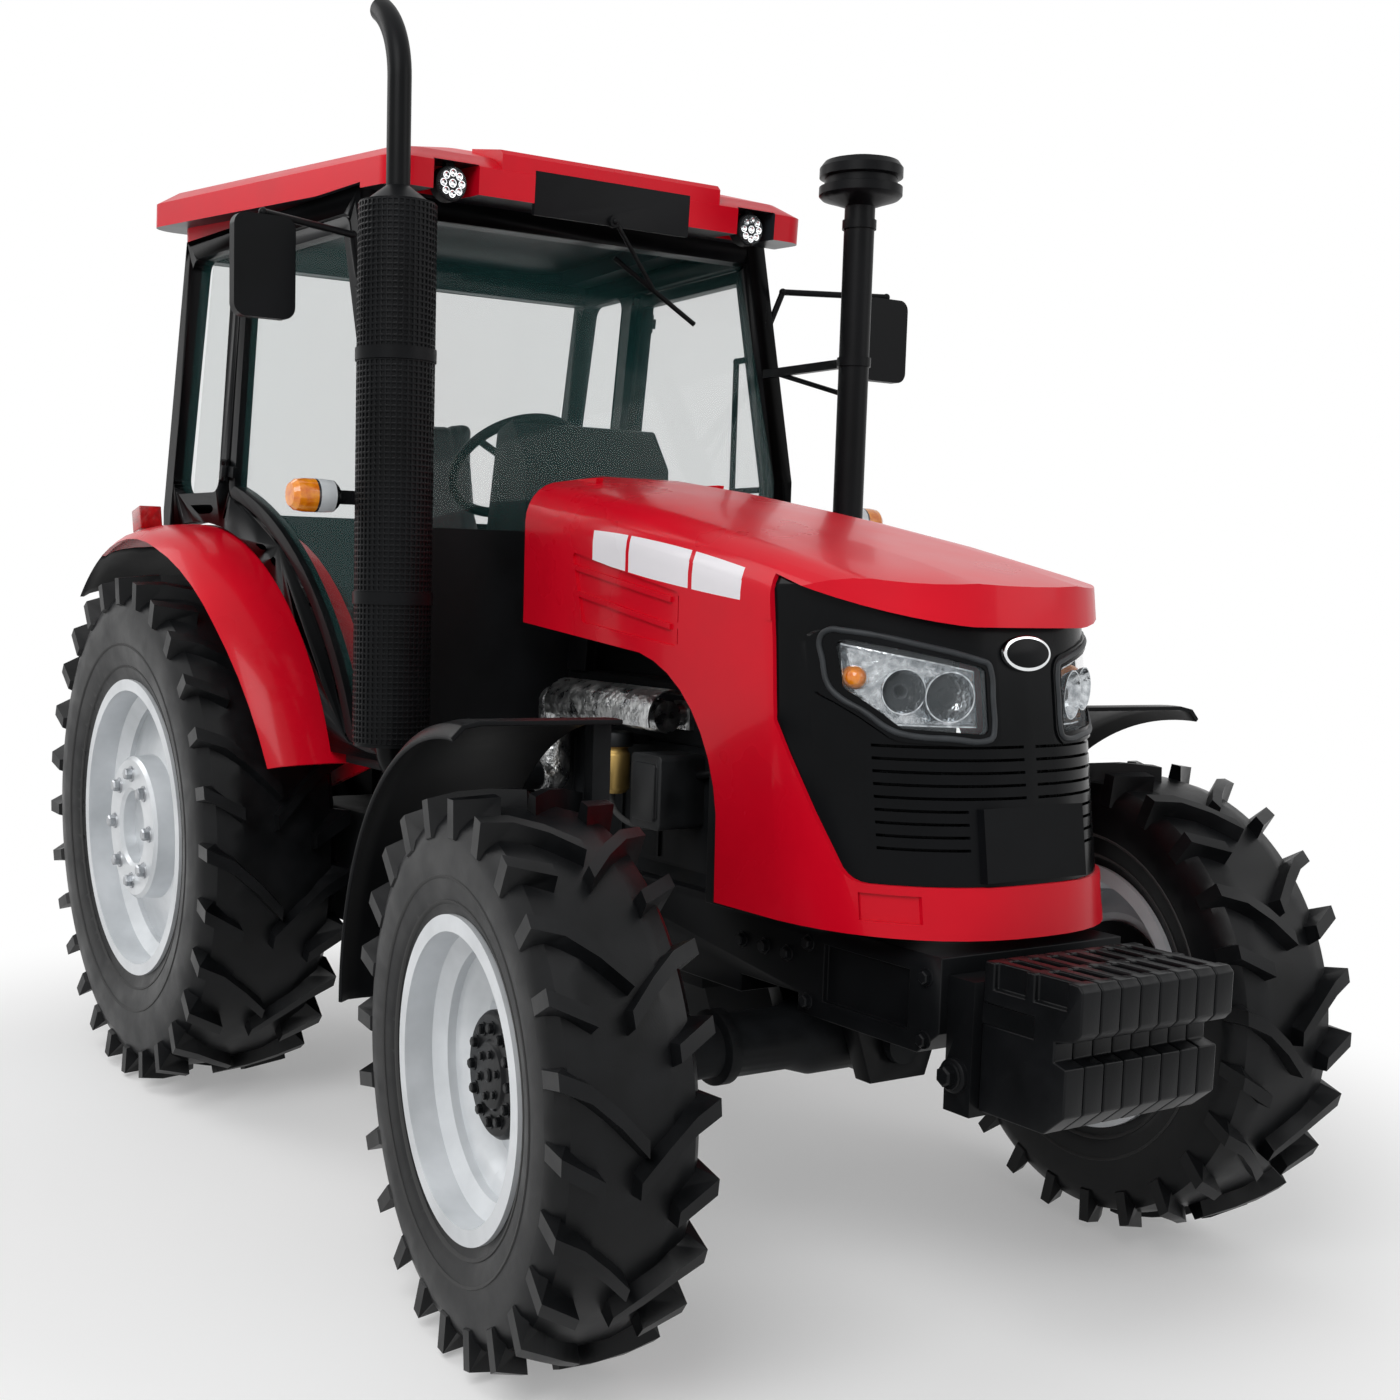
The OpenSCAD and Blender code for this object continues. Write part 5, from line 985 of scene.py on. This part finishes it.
class TRACTOR_OT_stage(bpy.types.Operator):
    """Lay the pale floor, hang the studio lamps and set the camera"""

    bl_idname = "tractor.stage"
    bl_label = "Stage"

    def execute(self, context):
        scene = context.scene
        studio = scene.tractor_studio
        self.floor(scene)
        self.sky(scene, studio.sky)
        for name, (place, target, size, share) in LAMPS.items():
            self.lamp(scene, name, Vector(place), Vector(target), size, studio.key * share)
        self.camera(scene)
        scene.view_settings.view_transform = "Standard"
        return {"FINISHED"}

    @staticmethod
    def seen(tree):
        """One for rays from the camera, from gloss and through glass."""
        path = add_node(tree, "LightPath").node.outputs
        direct = add_node(tree, "Math", {0: path["Is Camera Ray"], 1: path["Is Glossy Ray"]}, operation="MAXIMUM")
        return add_node(tree, "Math", {0: direct, 1: path["Is Transmission Ray"]}, operation="MAXIMUM")

    def floor(self, scene):
        """Pale floor that takes the shadow near the tractor and runs out to white."""
        bm = bmesh.new()
        bmesh.ops.create_grid(bm, x_segments=8, y_segments=8, size=40)
        mesh = bpy.data.meshes.new("studio_floor")
        bm.to_mesh(mesh)
        bm.free()
        paint = bpy.data.materials.new("white_studio_floor")
        paint.use_nodes = True
        tree = paint.node_tree
        shader = tree.nodes["Principled BSDF"]
        shader.inputs["Base Color"].default_value = linear("#f4f4f4")
        shader.inputs["Roughness"].default_value = 0.9
        coords = add_node(tree, "TexCoord", out="Object")
        away = add_node(tree, "VectorMath", {0: coords}, "Value", operation="LENGTH")
        # Share of plain white from 1.8 to 3.2 m away from the middle
        fade = add_node(tree, "MapRange", {0: away, 1: 1.8, 2: 3.2, 3: 0.3}, interpolation_type="SMOOTHSTEP")
        share = add_node(tree, "Math", {0: fade, 1: self.seen(tree)}, operation="MULTIPLY")
        glow = add_node(tree, "Emission", {"Color": WHITE, "Strength": 1.0})
        mixed = add_node(tree, "MixShader", {0: share, 1: shader.outputs[0], 2: glow})
        tree.links.new(mixed, tree.nodes["Material Output"].inputs["Surface"])
        mesh.materials.append(paint)
        obj = bpy.data.objects.new("studio_floor", mesh)
        scene.collection.objects.link(obj)

    def sky(self, scene, strength):
        """Even white light, and plain white where it is seen."""
        world = bpy.data.worlds.new("studio_white")
        world.use_nodes = True
        tree = world.node_tree
        light = add_node(tree, "Background", {"Color": WHITE, "Strength": strength})
        plain = tree.nodes["Background"]
        plain.inputs["Color"].default_value = WHITE
        mixed = add_node(tree, "MixShader", {0: self.seen(tree), 1: light, 2: plain.outputs[0]})
        tree.links.new(mixed, tree.nodes["World Output"].inputs["Surface"])
        scene.world = world

    @staticmethod
    def lamp(scene, name, place, target, size, power):
        """Large square soft lamp that looks at a point."""
        light = bpy.data.lights.new(name, "AREA")
        light.size = size
        light.energy = power
        obj = bpy.data.objects.new(name, light)
        obj.location = place
        obj.rotation_euler = (target - place).to_track_quat("-Z", "Y").to_euler()
        scene.collection.objects.link(obj)

    @staticmethod
    def camera(scene):
        """Camera at the photograph's place: ahead and to the right, at eye height."""
        level = Vector((math.cos(CAMERA_TURN), math.sin(CAMERA_TURN), 0))
        look = level * math.cos(CAMERA_DIP) - UP * math.sin(CAMERA_DIP)
        right = look.cross(UP).normalized()
        top = right.cross(look)
        across = math.cos(CAMERA_ROLL) * right + math.sin(CAMERA_ROLL) * top
        upward = math.cos(CAMERA_ROLL) * top - math.sin(CAMERA_ROLL) * right
        view = bpy.data.cameras.new("photo_camera")
        view.sensor_width = SENSOR
        view.lens = CAMERA_FOCUS / IMAGE_SIZE * SENSOR
        view.shift_x = 0.5 - CAMERA_CENTRE[0] / IMAGE_SIZE
        view.shift_y = CAMERA_CENTRE[1] / IMAGE_SIZE - 0.5
        obj = bpy.data.objects.new("photo_camera", view)
        matrix = Matrix((across, upward, -look)).transposed().to_4x4()
        matrix.translation = at(*CAMERA_PLACE)
        obj.matrix_world = matrix
        scene.collection.objects.link(obj)
        scene.camera = obj


PIECES = (TRACTOR_OT_paint, TRACTOR_OT_wheel_bolts, TRACTOR_OT_headlamps, TRACTOR_OT_nose_trim,
          TRACTOR_OT_grille_screen, TRACTOR_OT_frame_bolts, TRACTOR_OT_lines, TRACTOR_OT_cab_fittings,
          TRACTOR_OT_exhaust_guard, TRACTOR_OT_mirror_glass, TRACTOR_OT_work_lamps, TRACTOR_OT_seat,
          TRACTOR_OT_dials, TRACTOR_OT_tyre_ribs, TRACTOR_OT_stage)


class TRACTOR_PT_finish(bpy.types.Panel):
    """Pieces and settings of the tractor's finish"""

    bl_idname = "TRACTOR_PT_finish"
    bl_label = "Farm tractor"
    bl_space_type = "VIEW_3D"
    bl_region_type = "UI"
    bl_category = "Tractor"

    def draw(self, context):
        for key, kind in GROUPS.items():
            for setting in kind.__annotations__:
                self.layout.prop(getattr(context.scene, key), setting)
        for operator in PIECES:
            self.layout.operator(operator.bl_idname)


GROUPS = {"tractor_finish": TractorFinish, "tractor_trim": TractorTrim, "tractor_studio": TractorStudio}


def register():
    for key, group in GROUPS.items():
        bpy.utils.register_class(group)
        setattr(bpy.types.Scene, key, bpy.props.PointerProperty(type=group))
    for cls in PIECES + (TRACTOR_PT_finish,):
        bpy.utils.register_class(cls)


def unregister():
    for cls in reversed(PIECES + (TRACTOR_PT_finish,)):
        bpy.utils.unregister_class(cls)
    for key, group in GROUPS.items():
        delattr(bpy.types.Scene, key)
        bpy.utils.unregister_class(group)


def main():
    """Builds every piece in order."""
    register()
    for operator in PIECES:
        group, name = operator.bl_idname.split(".")
        getattr(getattr(bpy.ops, group), name)()


if __name__ == "__main__":
    main()
